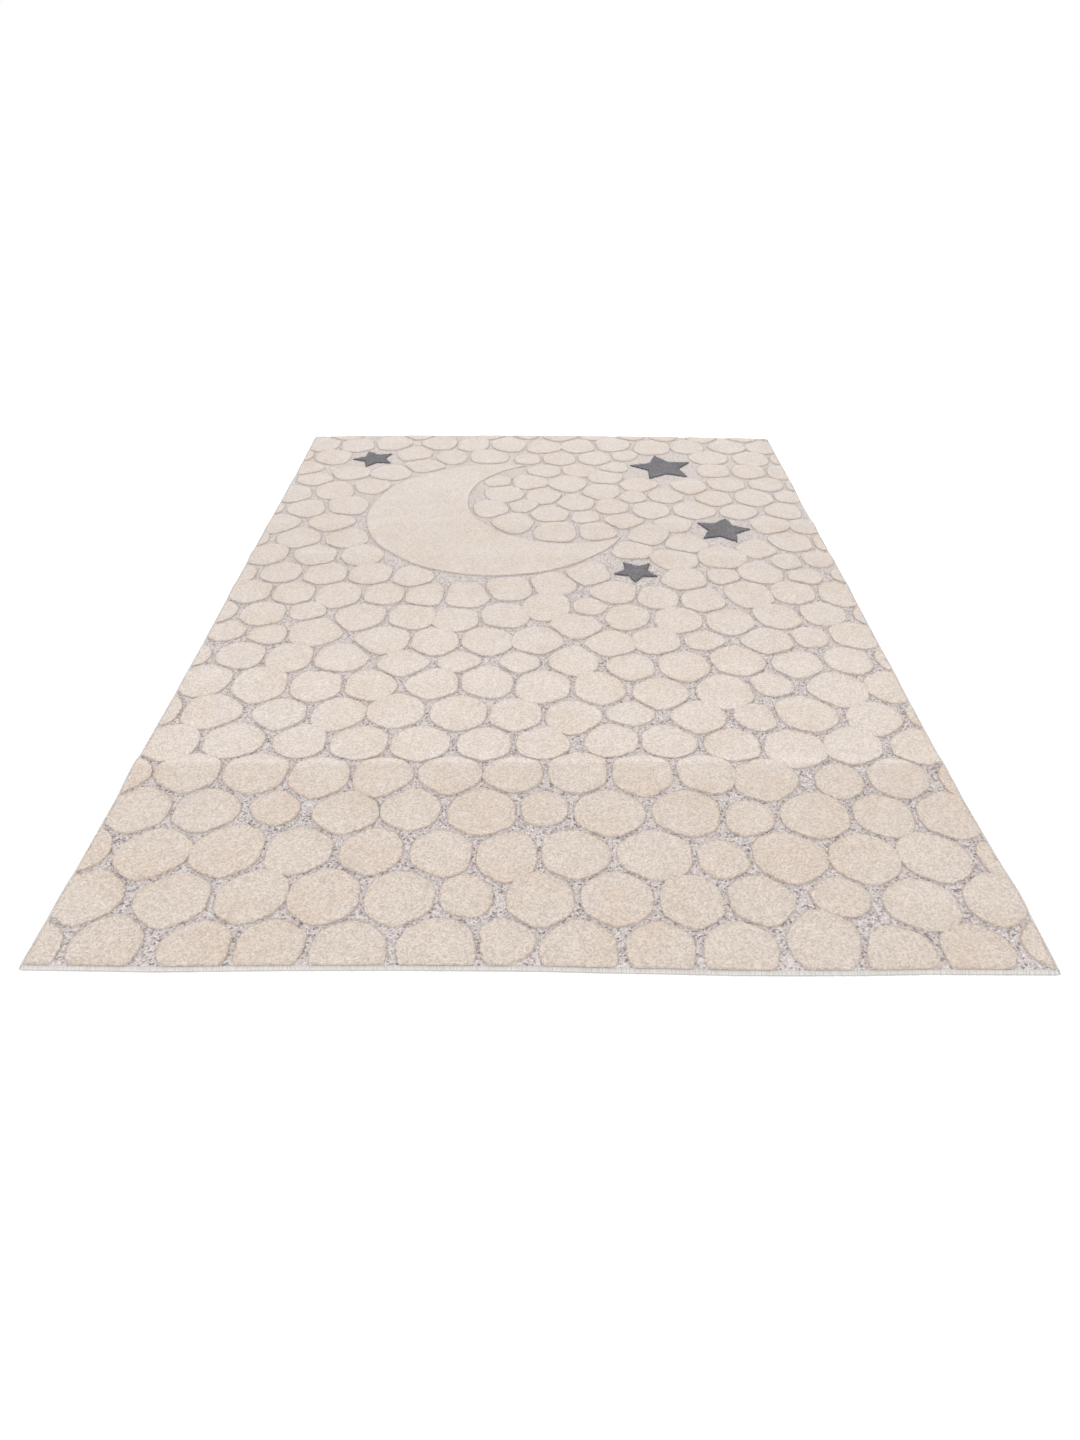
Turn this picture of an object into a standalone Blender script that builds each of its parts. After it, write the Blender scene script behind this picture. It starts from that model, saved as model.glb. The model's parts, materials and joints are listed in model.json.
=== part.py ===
"""A kids rug lying flat: one woven sheet with carved high pile, overcast with yarn along its four edges.

The high pile stands in rounded pebbles, a crescent moon and stars above a lower ground. The sheet
keeps the soft cross folds that it had when it was rolled, and its edges run a few millimetres uneven.
Run it with blender --background --python part.py, or from Blender's text editor.
X runs across the rug, Y along it from the front edge to the back edge, Z up from the floor.
"""

import math
from collections import Counter

import bmesh
import bpy
import numpy as np
from mathutils import Vector
from mathutils.geometry import delaunay_2d_cdt

# Overall size of the rug with its overcast edges
WIDTH = 1.600
LENGTH = 2.300

# Heights above the floor where the sheet lies flat
GROUND_TOP = 0.0070
PILE_TOP = 0.0125
TAPER_BOTTOM = 0.0018
TAPER_TOP = 0.0043

# The overcast edge: its width outside the pile, and how far the tapered backing reaches into it
BINDING_WIDTH = 0.0070
TAPER_REACH = 0.0045
CLEARANCE = 0.00035
MITRE_GAP = 0.0002

# The binding's section, outward from the pile's border and upward, round the taper and back
BINDING_SECTION = (
    (0.0010, 0.0000),
    (TAPER_REACH + CLEARANCE, TAPER_BOTTOM - CLEARANCE),
    (TAPER_REACH + CLEARANCE, TAPER_TOP + CLEARANCE),
    (CLEARANCE, GROUND_TOP + CLEARANCE),
    (0.0016, 0.0086),
    (0.0042, 0.0084),
    (0.0062, 0.0068),
    (BINDING_WIDTH, 0.0042),
    (0.0062, 0.0014),
    (0.0044, 0.0000),
)

# Sections of the binding: across each fold as shares of its reach, no two nearer than this, and
# evenly along the short edges
FOLD_PLACES = (-1.0, -0.45, 0.0, 0.45, 1.0)
NEAREST_PLACES = 0.022
END_STEPS = 16

# How far the long edges run in from a straight line: share of the length, left edge, right edge
SIDE_INSETS = (
    (0.00, 0.0000, 0.0030),
    (0.065, 0.0020, 0.0000),
    (0.12, 0.0060, 0.0045),
    (0.21, 0.0040, 0.0085),
    (0.28, 0.0065, 0.0075),
    (0.42, 0.0062, 0.0055),
    (0.54, 0.0040, 0.0030),
    (0.69, 0.0030, 0.0040),
    (0.75, 0.0036, 0.0062),
    (0.84, 0.0038, 0.0028),
    (1.00, 0.0000, 0.0030),
)

# How far the short edges run in from a straight line: share of the width, front edge, back edge
END_INSETS = (
    (0.00, 0.0040, 0.0110),
    (0.14, 0.0016, 0.0015),
    (0.24, 0.0054, 0.0030),
    (0.38, 0.0068, 0.0004),
    (0.50, 0.0062, 0.0000),
    (0.58, 0.0034, 0.0006),
    (0.70, 0.0000, 0.0020),
    (0.79, 0.0003, 0.0045),
    (0.86, 0.0040, 0.0070),
    (1.00, 0.0040, 0.0110),
)

# Soft cross folds: distance of the crest from the front edge at left and right, its height at
# left, middle and right, and how far the fold reaches to the front and to the back of it
CROSS_FOLDS = (
    (0.150, 0.165, 0.0012, 0.0000, 0.0028, 0.060, 0.060),
    (0.485, 0.500, 0.0048, 0.0064, 0.0042, 0.105, 0.032),
    (0.800, 0.825, 0.0015, 0.0020, 0.0022, 0.080, 0.080),
    (1.200, 1.230, 0.0030, 0.0020, 0.0026, 0.070, 0.040),
    (1.390, 1.370, 0.0042, 0.0030, 0.0032, 0.070, 0.042),
    (1.560, 1.590, 0.0026, 0.0030, 0.0036, 0.065, 0.045),
    (1.880, 1.850, 0.0030, 0.0022, 0.0012, 0.080, 0.070),
    (2.300, 2.300, 0.0008, 0.0045, 0.0016, 0.130, 0.130),
)

# Pebbles: rows, sizes and the ground that shows between them
ROW_PITCH = 0.1020
PEBBLE_PITCH = 0.1240
SHAKE = 0.0200
PEBBLE_RADII = (0.0545, 0.0650)
SMALL_PEBBLE = 0.0440
SMALL_SHARE = 0.09
FULLNESS = 1.12
CROWN = 0.0012
EDGE_MARGIN = 0.030
LEAST_SHOWN = 0.60
STRETCH = 0.11
SETTLING_ROUNDS = 90
PUSH_APART = 0.25
PUSH_FROM_MOTIF = 0.60
NEIGHBOUR_REACH = 0.160
GAPS = (0.0030, 0.0080)
MERGED_GAP = -0.0180
MERGED_SHARE = 0.20
LAYOUT_SEED = 7
ROUNDING_POWER = 8.0
LEAST_FACING = 0.05
LARGE_PEBBLE = 0.0645
LARGE_POINTS = 9
PEBBLE_POINTS = 8

# The crescent moon: an outer circle with a bite out of it, as centre and radius
MOON = ((-0.130, 0.500), 0.385)
MOON_BITE = ((0.075, 0.605), 0.300)
MOON_ARC_STEPS = 27
MOON_GRID = 0.090

# Five-pointed stars in charcoal pile: centre, radius and turn in degrees
STARS = (
    ((0.395, 0.865), 0.105, 8.0),
    ((0.520, 0.395), 0.080, -14.0),
    ((-0.560, 0.930), 0.070, 22.0),
    ((0.250, 0.140), 0.060, 30.0),
)
STAR_WAIST = 0.50
STAR_POINTS = 5
MOTIF_GAP = 0.0080

# Shares of the width where the underside has points of its own
UNDERSIDE_SHARES = (0.18, 0.50, 0.82)

# Two points of the plan nearer than this count as one
PLAN_TOLERANCE = 0.00005

# Finishes: colour, roughness and metallic value
CREAM_PILE = ("cream_pile", (0.760, 0.665, 0.580), 0.95, 0.0)
HEATHER_GROUND = ("heather_ground", (0.600, 0.535, 0.510), 0.95, 0.0)
CHARCOAL_PILE = ("charcoal_pile", (0.125, 0.120, 0.128), 0.95, 0.0)
OVERCAST_YARN = ("overcast_yarn", (0.740, 0.710, 0.680), 0.80, 0.0)


def clear_scene():
    """Removes what the startup scene holds."""
    for thing in list(bpy.data.objects):
        bpy.data.objects.remove(thing)


def finish(name, colour, roughness, metallic):
    """A plain Principled material."""
    made = bpy.data.materials.new(name)
    made.use_nodes = True
    shader = made.node_tree.nodes["Principled BSDF"]
    shader.inputs["Base Color"].default_value = (*colour, 1.0)
    shader.inputs["Roughness"].default_value = roughness
    shader.inputs["Metallic"].default_value = metallic
    return made


def eased(table, column, share):
    """A column of a table read between its rows, with no kink at a row."""
    rows = np.array(table)
    places = rows[:, 0]
    row = np.clip(np.searchsorted(places, share, side="right") - 1, 0, len(places) - 2)
    part = (share - places[row]) / (places[row + 1] - places[row])
    part = part * part * (3 - 2 * part)
    return rows[row, column] * (1 - part) + rows[row + 1, column] * part


def lift(x, y):
    """How far the sheet stands off the floor over a point, because of its cross folds."""
    share = np.clip(x / WIDTH + 0.5, 0, 1)
    raised = 0.0
    for at_left, at_right, left, middle, right, to_front, to_back in CROSS_FOLDS:
        past = y - (at_left * (1 - share) + at_right * share - LENGTH / 2)
        away = np.clip(np.abs(past) / np.where(past < 0, to_front, to_back), 0, 1)
        side = np.abs(2 * share - 1)
        end = np.where(share < 0.5, left, right)
        height = middle * (1 - side * side) + end * side * side
        raised = raised + height * 0.5 * (1 + np.cos(math.pi * away))
    return raised


def fold_places(share):
    """Shares of the length, from 0 up to 1, where the folds need a section at a share of the width."""
    places = [0.0]
    wanted = []
    for at_left, at_right, _, _, _, to_front, to_back in CROSS_FOLDS:
        crest = at_left * (1 - share) + at_right * share
        for part in FOLD_PLACES:
            wanted.append((crest + part * (to_front if part < 0 else to_back)) / LENGTH)
    for place in sorted(wanted):
        if places[-1] + NEAREST_PLACES / LENGTH < place < 1 - NEAREST_PLACES / LENGTH:
            places.append(place)
    return np.array(places)


def pile_border():
    """The plan of the pile's border, anticlockwise from the front left corner, fitted to the size.

    It returns the plan and the number of points from each corner to the next.
    """
    on_right = fold_places(1.0)
    on_left = np.append(fold_places(0.0), 1.0)[::-1][:-1]
    across = np.arange(END_STEPS) / END_STEPS
    half_width, half_length = WIDTH / 2, LENGTH / 2
    front_left = (eased(SIDE_INSETS, 1, 0.0) - half_width, eased(END_INSETS, 1, 0.0) - half_length)
    front_right = (half_width - eased(SIDE_INSETS, 2, 0.0), front_left[1])
    back_left = (front_left[0], half_length - eased(END_INSETS, 2, 0.0))
    back_right = (front_right[0], back_left[1])
    front = np.stack([
        front_left[0] + across * (front_right[0] - front_left[0]),
        eased(END_INSETS, 1, across) - half_length,
    ], axis=1)
    right = np.stack([
        half_width - eased(SIDE_INSETS, 2, on_right),
        front_right[1] + on_right * (back_right[1] - front_right[1]),
    ], axis=1)
    back = np.stack([
        back_right[0] + across * (back_left[0] - back_right[0]),
        half_length - eased(END_INSETS, 2, 1 - across),
    ], axis=1)
    left = np.stack([
        eased(SIDE_INSETS, 1, on_left) - half_width,
        front_left[1] + on_left * (back_left[1] - front_left[1]),
    ], axis=1)
    plan = np.concatenate([front, right, back, left])
    low, high = plan.min(axis=0), plan.max(axis=0)
    room = np.array([WIDTH, LENGTH]) - 2 * BINDING_WIDTH
    counts = [len(side) for side in (front, right, back, left)]
    return (plan - (low + high) / 2) * room / (high - low), counts


def outward(plan):
    """The way out of a closed plan at each point, long enough that both of its sides move by one."""
    before = plan - np.roll(plan, 1, axis=0)
    after = np.roll(plan, -1, axis=0) - plan
    normals = []
    for first, second in zip(before, after):
        first = np.array([first[1], -first[0]]) / np.linalg.norm(first)
        second = np.array([second[1], -second[0]]) / np.linalg.norm(second)
        normals.append((first + second) / (1 + first @ second))
    return np.array(normals)


def moon_outline():
    """The crescent's outline, anticlockwise, from its upper horn round the outer circle and back."""
    (outer, radius), (bite, bite_radius) = MOON, MOON_BITE
    outer, bite = np.array(outer), np.array(bite)
    apart = np.linalg.norm(bite - outer)
    heading = math.atan2(*(bite - outer)[::-1])
    spread = math.acos((apart**2 + radius**2 - bite_radius**2) / (2 * apart * radius))
    inner_spread = math.acos((apart**2 + bite_radius**2 - radius**2) / (2 * apart * bite_radius))
    turn = np.linspace(heading + spread, heading + 2 * math.pi - spread, MOON_ARC_STEPS)
    arc = outer + radius * np.stack([np.cos(turn), np.sin(turn)], axis=1)
    back = np.linspace(
        heading + math.pi + inner_spread, heading + math.pi - inner_spread, MOON_ARC_STEPS
    )[1:-1]
    inner = bite + bite_radius * np.stack([np.cos(back), np.sin(back)], axis=1)
    return np.concatenate([arc, inner])


def star_outline(centre, radius, turn):
    """A star's outline, anticlockwise."""
    steps = np.arange(2 * STAR_POINTS)
    angles = math.radians(turn + 90) + steps * math.pi / STAR_POINTS
    reach = np.where(steps % 2 == 0, radius, radius * STAR_WAIST)
    return np.array(centre) + reach[:, None] * np.stack([np.cos(angles), np.sin(angles)], axis=1)


def to_moon(points):
    """How far points are outside the crescent, and the way out of it."""
    (outer, radius), (bite, bite_radius) = MOON, MOON_BITE
    from_outer, from_bite = points - np.array(outer), points - np.array(bite)
    outer_far = np.linalg.norm(from_outer, axis=1)
    bite_far = np.linalg.norm(from_bite, axis=1)
    outside, in_bite = outer_far - radius, bite_radius - bite_far
    ways = np.where(
        (outside > in_bite)[:, None],
        from_outer / outer_far[:, None],
        -from_bite / bite_far[:, None],
    )
    return np.maximum(outside, in_bite), ways


def to_star(points, star):
    """How far points are outside a star's outer circle, and the way out of it."""
    away = points - np.array(star[0])
    far = np.linalg.norm(away, axis=1)
    return far - star[1], away / far[:, None]


def motifs_from(points):
    """Distance outside, and way out, for each motif in turn."""
    return [to_moon(points)] + [to_star(points, star) for star in STARS]


def settled_pebbles():
    """Centres and radii of the pebbles: staggered rows, shaken, then pushed clear of each other."""
    rng = np.random.RandomState(LAYOUT_SEED)
    centres = []
    for row in range(-1, math.ceil(LENGTH / ROW_PITCH) + 1):
        stagger = (row % 2) * PEBBLE_PITCH / 2
        for column in range(-1, math.ceil(WIDTH / PEBBLE_PITCH) + 1):
            centres.append((
                column * PEBBLE_PITCH + stagger - WIDTH / 2 + rng.uniform(-SHAKE, SHAKE),
                row * ROW_PITCH + ROW_PITCH / 2 - LENGTH / 2 + rng.uniform(-SHAKE, SHAKE),
            ))
    centres = np.array(centres)
    radii = rng.uniform(*PEBBLE_RADII, len(centres))
    radii[rng.rand(len(centres)) < SMALL_SHARE] = SMALL_PEBBLE
    keep = np.all([far > 0 for far, _ in motifs_from(centres)], axis=0)
    centres, radii = centres[keep], radii[keep]
    for _ in range(SETTLING_ROUNDS):
        apart = centres[:, None] - centres[None]
        far = np.linalg.norm(apart, axis=2) + np.eye(len(centres))
        wanted = radii[:, None] + radii[None]
        crowding = np.clip(wanted - far, 0, None) * (1 - np.eye(len(centres)))
        centres = centres + PUSH_APART * (apart / far[..., None] * crowding[..., None]).sum(axis=1)
        for outside, way in motifs_from(centres):
            short = np.clip(radii + MOTIF_GAP - outside, 0, None)
            centres = centres + PUSH_FROM_MOTIF * short[:, None] * way
    return centres, radii


def pebble_limits(centres, radii):
    """For each pebble, the lines that it stays behind, as unit ways out and distances."""
    rng = np.random.RandomState(LAYOUT_SEED + 1)
    count = len(centres)
    gaps = rng.uniform(*GAPS, (count, count))
    gaps[rng.rand(count, count) < MERGED_SHARE] = MERGED_GAP
    gaps = np.triu(gaps, 1) + np.triu(gaps, 1).T
    limits = [[] for _ in range(count)]
    for first in range(count):
        for second in range(count):
            way = centres[second] - centres[first]
            far = np.linalg.norm(way)
            if first == second or far > NEIGHBOUR_REACH:
                continue
            line = (far**2 + radii[first] ** 2 - radii[second] ** 2) / (2 * far)
            limits[first].append((way / far, line - gaps[first, second] / 2))
    for outside, ways in motifs_from(centres):
        for index in np.flatnonzero(outside < 2 * PEBBLE_RADII[1]):
            limits[index].append((-ways[index], outside[index] - MOTIF_GAP))
    return limits


def pebble_outline(centre, radius, limits, stretch, heading, angles):
    """A pebble's outline at the given angles: an oval, pressed flatter where a neighbour is near."""
    ways = np.stack([np.cos(angles), np.sin(angles)], axis=1)
    oval = FULLNESS * radius * (1 + stretch * np.cos(2 * (angles - heading)))
    pressed = oval**-ROUNDING_POWER
    for way, distance in limits:
        facing = ways @ way
        near = np.clip(facing, LEAST_FACING, None) / distance
        pressed = pressed + np.where(facing > LEAST_FACING, near, 0) ** ROUNDING_POWER
    return centre + pressed[:, None] ** (-1 / ROUNDING_POWER) * ways


def pebbles_that_show():
    """The outline and the centre of each pebble that shows, with more points on the larger ones."""
    centres, radii = settled_pebbles()
    limits = pebble_limits(centres, radii)
    rng = np.random.RandomState(LAYOUT_SEED + 2)
    outlines, crowns = [], []
    for index, (centre, radius) in enumerate(zip(centres, radii)):
        stretch, heading, start = rng.uniform(0, STRETCH), rng.uniform(0, math.pi), rng.uniform(0, 1)
        past = np.abs(centre) - np.array([WIDTH, LENGTH]) / 2 + BINDING_WIDTH
        if past.max() > LEAST_SHOWN * radius:
            continue
        count = LARGE_POINTS if radius > LARGE_PEBBLE else PEBBLE_POINTS
        angles = start + np.arange(count) * 2 * math.pi / count
        outline = pebble_outline(centre, radius, limits[index], stretch, heading, angles)
        outlines.append(outline)
        middle = outline.mean(axis=0)
        if (np.array([WIDTH, LENGTH]) / 2 - np.abs(middle)).min() > EDGE_MARGIN:
            crowns.append(middle)
    return outlines, crowns


def grid_inside_moon():
    """Points spread inside the crescent, so that its broad face follows the folds."""
    (centre, radius) = MOON
    steps = np.arange(-radius, radius, MOON_GRID)
    grid = np.array([(centre[0] + x, centre[1] + y) for x in steps for y in steps])
    outside, _ = to_moon(grid)
    return grid[outside < -0.5 * MOON_GRID]


def triangulated(outlines, loose):
    """The plan split into triangles at every outline.

    It returns the points, the triangles, the outlines that hold each triangle, and the loose point
    that each point is, or -1.
    """
    points, faces = [], []
    for outline in outlines:
        faces.append(list(range(len(points), len(points) + len(outline))))
        points.extend(outline)
    first = len(points)
    points.extend(loose)
    plan, _, triangles, sources, _, holders = delaunay_2d_cdt(
        [Vector(point) for point in points], [], faces, 0, PLAN_TOLERANCE
    )
    loose_of = [max([source - first for source in found] + [-1]) for found in sources]
    return np.array([tuple(point) for point in plan]), triangles, holders, loose_of


def sides_of(triangle):
    """A triangle's three directed sides."""
    return list(zip(triangle, (*triangle[1:], triangle[0])))


def with_pinches_filled(triangles, raised):
    """Which triangles are high pile, once pads that would meet at a single point are joined there."""
    while True:
        high = {side for triangle, up in zip(triangles, raised) if up for side in sides_of(triangle)}
        starts = Counter(start for start, end in high if (end, start) not in high)
        pinched = {start for start, times in starts.items() if times > 1}
        if not pinched:
            return raised
        raised = [up or not pinched.isdisjoint(triangle) for triangle, up in zip(triangles, raised)]


def sheet_lift(plan, border):
    """The lift at each point of a plan, straight from point to point along the border."""
    raised = lift(plan[:, 0], plan[:, 1])
    corner_lift = lift(border[:, 0], border[:, 1])
    for start, end, low, high in zip(
        border, np.roll(border, -1, axis=0), corner_lift, np.roll(corner_lift, -1)
    ):
        side = end - start
        length = np.linalg.norm(side)
        share = (plan - start) @ side / length**2
        off = np.abs((plan - start) @ np.array([-side[1], side[0]])) / length
        on_side = (off < PLAN_TOLERANCE) & (share > -1e-6) & (share < 1 + 1e-6)
        raised = np.where(on_side, low + (high - low) * np.clip(share, 0, 1), raised)
    return raised


class Sheet:
    """Collects the rug's faces, with each point made once at each level."""

    def __init__(self):
        self.mesh = bmesh.new()
        self.points = {}

    def point(self, place, level):
        """The mesh's point at a level over a place, which is (x, y, lift)."""
        key = (round(place[0], 5), round(place[1], 5), round(level, 5))
        if key not in self.points:
            self.points[key] = self.mesh.verts.new((place[0], place[1], place[2] + level))
        return self.points[key]

    def face(self, corners, material):
        """A face through (place, level) corners, anticlockwise seen from outside."""
        made = self.mesh.faces.new([self.point(*corner) for corner in corners])
        made.material_index = material

    def wall(self, start, end, top, bottom, material):
        """An upright face under the edge from start to end, seen from that edge's right."""
        self.face([(start, top), (start, bottom), (end, bottom), (end, top)], material)


def woven_sheet(border, materials):
    """The rug itself: backing, ground and raised pile, as one closed solid."""
    pebbles, crowns = pebbles_that_show()
    stars = [star_outline(*star) for star in STARS]
    outlines = [border, moon_outline(), *stars, *pebbles]
    charcoal = set(range(2, 2 + len(stars)))
    plan, triangles, holders, loose_of = triangulated(outlines, [*crowns, *grid_inside_moon()])
    places = np.column_stack([plan, sheet_lift(plan, border)])
    crown = [CROWN if 0 <= loose < len(crowns) else 0.0 for loose in loose_of]
    inside = [index for index, held in enumerate(holders) if 0 in held]
    triangles = [triangles[index] for index in inside]
    holders = [set(holders[index]) for index in inside]
    raised = with_pinches_filled(triangles, [len(held) > 1 for held in holders])
    sheet = Sheet()
    shades = {}
    for triangle, held, up in zip(triangles, holders, raised):
        shade = 2 if charcoal & held else 0 if up else 1
        level = PILE_TOP if up else GROUND_TOP
        sheet.face([(places[corner], level + crown[corner]) for corner in triangle], shade)
        shades.update((side, shade) for side in sides_of(triangle))
    rim = {}
    for (start, end), shade in shades.items():
        across = shades.get((end, start))
        if shade != 1 and across in (None, 1):
            sheet.wall(places[start], places[end], PILE_TOP, GROUND_TOP, shade)
        if across is None:
            rim[start] = end
    add_selvedge(sheet, border, places, rim)
    mesh = bpy.data.meshes.new("rug_body")
    sheet.mesh.to_mesh(mesh)
    sheet.mesh.free()
    body = bpy.data.objects.new("rug_body", mesh)
    for material in materials:
        body.data.materials.append(material)
    bpy.context.collection.objects.link(body)
    return body


def add_selvedge(sheet, border, places, rim):
    """The tapered backing that reaches into the binding, and the flat underside."""
    order = [next(iter(rim))]
    while rim[order[-1]] != order[0]:
        order.append(rim[order[-1]])
    inner = places[order]
    outer = inner + np.column_stack([outward(inner[:, :2]) * TAPER_REACH, np.zeros(len(inner))])
    for index in range(len(order)):
        after = (index + 1) % len(order)
        a, b, c, d = inner[index], inner[after], outer[after], outer[index]
        sheet.face([(a, GROUND_TOP), (d, TAPER_TOP), (c, TAPER_TOP), (b, GROUND_TOP)], 1)
        sheet.wall(d, c, TAPER_TOP, TAPER_BOTTOM, 1)
        sheet.face([(a, 0.0), (b, 0.0), (c, TAPER_BOTTOM), (d, TAPER_BOTTOM)], 1)
    middle = []
    for share in UNDERSIDE_SHARES:
        for place in fold_places(share)[1:]:
            middle.append(((share - 0.5) * WIDTH, (place - 0.5) * LENGTH))
    under, triangles, holders, _ = triangulated([inner[:, :2]], middle)
    below = np.column_stack([under, sheet_lift(under, border)])
    for triangle, held in zip(triangles, holders):
        if held:
            sheet.face([(below[corner], 0.0) for corner in reversed(triangle)], 1)


def binding(name, border, first, count, material):
    """One edge's overcast yarn: the section carried along the border and mitred at both corners."""
    picked = np.arange(first, first + count + 1) % len(border)
    path, way = border[picked], outward(border)[picked]
    rises = lift(path[:, 0], path[:, 1])
    along = (path[-1] - path[0]) / np.linalg.norm(path[-1] - path[0])
    path[0] += along * MITRE_GAP
    path[-1] -= along * MITRE_GAP
    mesh = bmesh.new()
    rings = []
    for place, out, rise in zip(path, way, rises):
        rings.append([])
        for reach, height in BINDING_SECTION:
            x, y = place + out * reach
            rings[-1].append(mesh.verts.new((x, y, height + rise)))
    size = len(BINDING_SECTION)
    for ring, after in zip(rings, rings[1:]):
        for index in range(size):
            follows = (index + 1) % size
            mesh.faces.new((ring[index], ring[follows], after[follows], after[index]))
    mesh.faces.new(rings[0][::-1])
    mesh.faces.new(rings[-1])
    bmesh.ops.recalc_face_normals(mesh, faces=mesh.faces)
    data = bpy.data.meshes.new(name)
    mesh.to_mesh(data)
    mesh.free()
    made = bpy.data.objects.new(name, data)
    made.data.materials.append(material)
    bpy.context.collection.objects.link(made)
    return made


def main():
    """Builds the rug and its four overcast edges."""
    clear_scene()
    border, counts = pile_border()
    pile = [finish(*look) for look in (CREAM_PILE, HEATHER_GROUND, CHARCOAL_PILE)]
    woven_sheet(border, pile)
    yarn = finish(*OVERCAST_YARN)
    corner = 0
    for edge, count in zip(("front", "right", "back", "left"), counts):
        binding(f"binding_{edge}", border, corner, count, yarn)
        corner += count


main()
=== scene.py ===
"""A kids rug of carved high pile: pebbles, a crescent moon and stars, with overcast yarn edges.

The rug lies on a pale studio floor. X runs across it, Y along it from the front edge to the back
edge, and Z up from the floor. All sizes are in metres.
"""

import json
import logging
import math
from collections.abc import Sequence
from dataclasses import dataclass, field
from enum import Enum
from functools import cached_property

import bpy
import numpy as np
from mathutils import Matrix, Vector
from mathutils.geometry import delaunay_2d_cdt

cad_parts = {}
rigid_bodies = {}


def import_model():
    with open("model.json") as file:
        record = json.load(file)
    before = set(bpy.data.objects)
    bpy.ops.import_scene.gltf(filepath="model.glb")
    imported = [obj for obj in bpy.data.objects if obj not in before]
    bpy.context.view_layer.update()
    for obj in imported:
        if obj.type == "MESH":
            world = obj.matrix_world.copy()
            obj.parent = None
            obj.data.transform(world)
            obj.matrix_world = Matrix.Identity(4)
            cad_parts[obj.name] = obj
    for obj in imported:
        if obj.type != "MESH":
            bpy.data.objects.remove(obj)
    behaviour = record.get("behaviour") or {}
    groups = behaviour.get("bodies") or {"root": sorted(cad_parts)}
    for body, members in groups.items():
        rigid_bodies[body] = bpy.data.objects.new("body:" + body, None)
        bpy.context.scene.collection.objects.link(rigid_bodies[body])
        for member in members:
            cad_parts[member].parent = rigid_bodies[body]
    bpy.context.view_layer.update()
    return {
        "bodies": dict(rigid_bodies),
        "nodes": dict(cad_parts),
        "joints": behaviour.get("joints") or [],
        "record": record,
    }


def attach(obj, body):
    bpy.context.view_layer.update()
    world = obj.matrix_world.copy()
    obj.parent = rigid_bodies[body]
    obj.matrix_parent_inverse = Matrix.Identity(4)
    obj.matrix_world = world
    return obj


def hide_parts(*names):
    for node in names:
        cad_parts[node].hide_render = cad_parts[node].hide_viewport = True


log = logging.getLogger("kids_rug")

BODY = "root"
FLAT_SIZE = (1.600, 2.300)

Colour = tuple[float, float, float, float]


class PileHeight(Enum):
    """How high each layer of the rug stands above the floor where the sheet lies flat."""

    TAPER_BOTTOM = 0.0018
    TAPER_TOP = 0.0043
    GROUND = 0.0070
    LOOPS = 0.0086


class Slot(Enum):
    """The record's material slots."""

    PILE = "cream_pile"
    YARN = "overcast_yarn"


class Axis(Enum):
    """The axis of an instance that is turned, by the name that the node gives it."""

    ACROSS = "X"
    UP = "Z"


# Shader and geometry nodes


class Term:
    """A node's output that takes part in Python expressions, each operator adding a Math node."""

    def __init__(self, kit: "NodeKit", socket: bpy.types.NodeSocket) -> None:
        """Wraps an output, with the builder that adds nodes to its tree."""
        self.kit = kit
        self.socket = socket

    def _math(self, operation: str, first: "Term | float", second: "Term | float") -> "Term":
        """One Math node's result."""
        return self.kit.term("ShaderNodeMath", {0: first, 1: second}, operation=operation)

    def __add__(self, other: "Term | float") -> "Term":
        """Sum."""
        return self._math("ADD", self, other)

    def __mul__(self, other: "Term | float") -> "Term":
        """Product."""
        return self._math("MULTIPLY", self, other)

    def __sub__(self, other: "Term | float") -> "Term":
        """Difference."""
        return self._math("SUBTRACT", self, other)

    def __rsub__(self, other: "Term | float") -> "Term":
        """Difference with this term taken away."""
        return self._math("SUBTRACT", other, self)

    def __truediv__(self, other: "Term | float") -> "Term":
        """Quotient."""
        return self._math("DIVIDE", self, other)

    __radd__ = __add__
    __rmul__ = __mul__

    def at_least(self, limit: "Term | float") -> "Term":
        """The larger of this term and a limit."""
        return self._math("MAXIMUM", self, limit)

    def between(self, low: float, high: float) -> "Term":
        """A smooth step of this term, from 0 at the low value to 1 at the high one."""
        values = {"Value": self, 1: low, 2: high}
        return self.kit.term("ShaderNodeMapRange", values, interpolation_type="SMOOTHSTEP")


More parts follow.
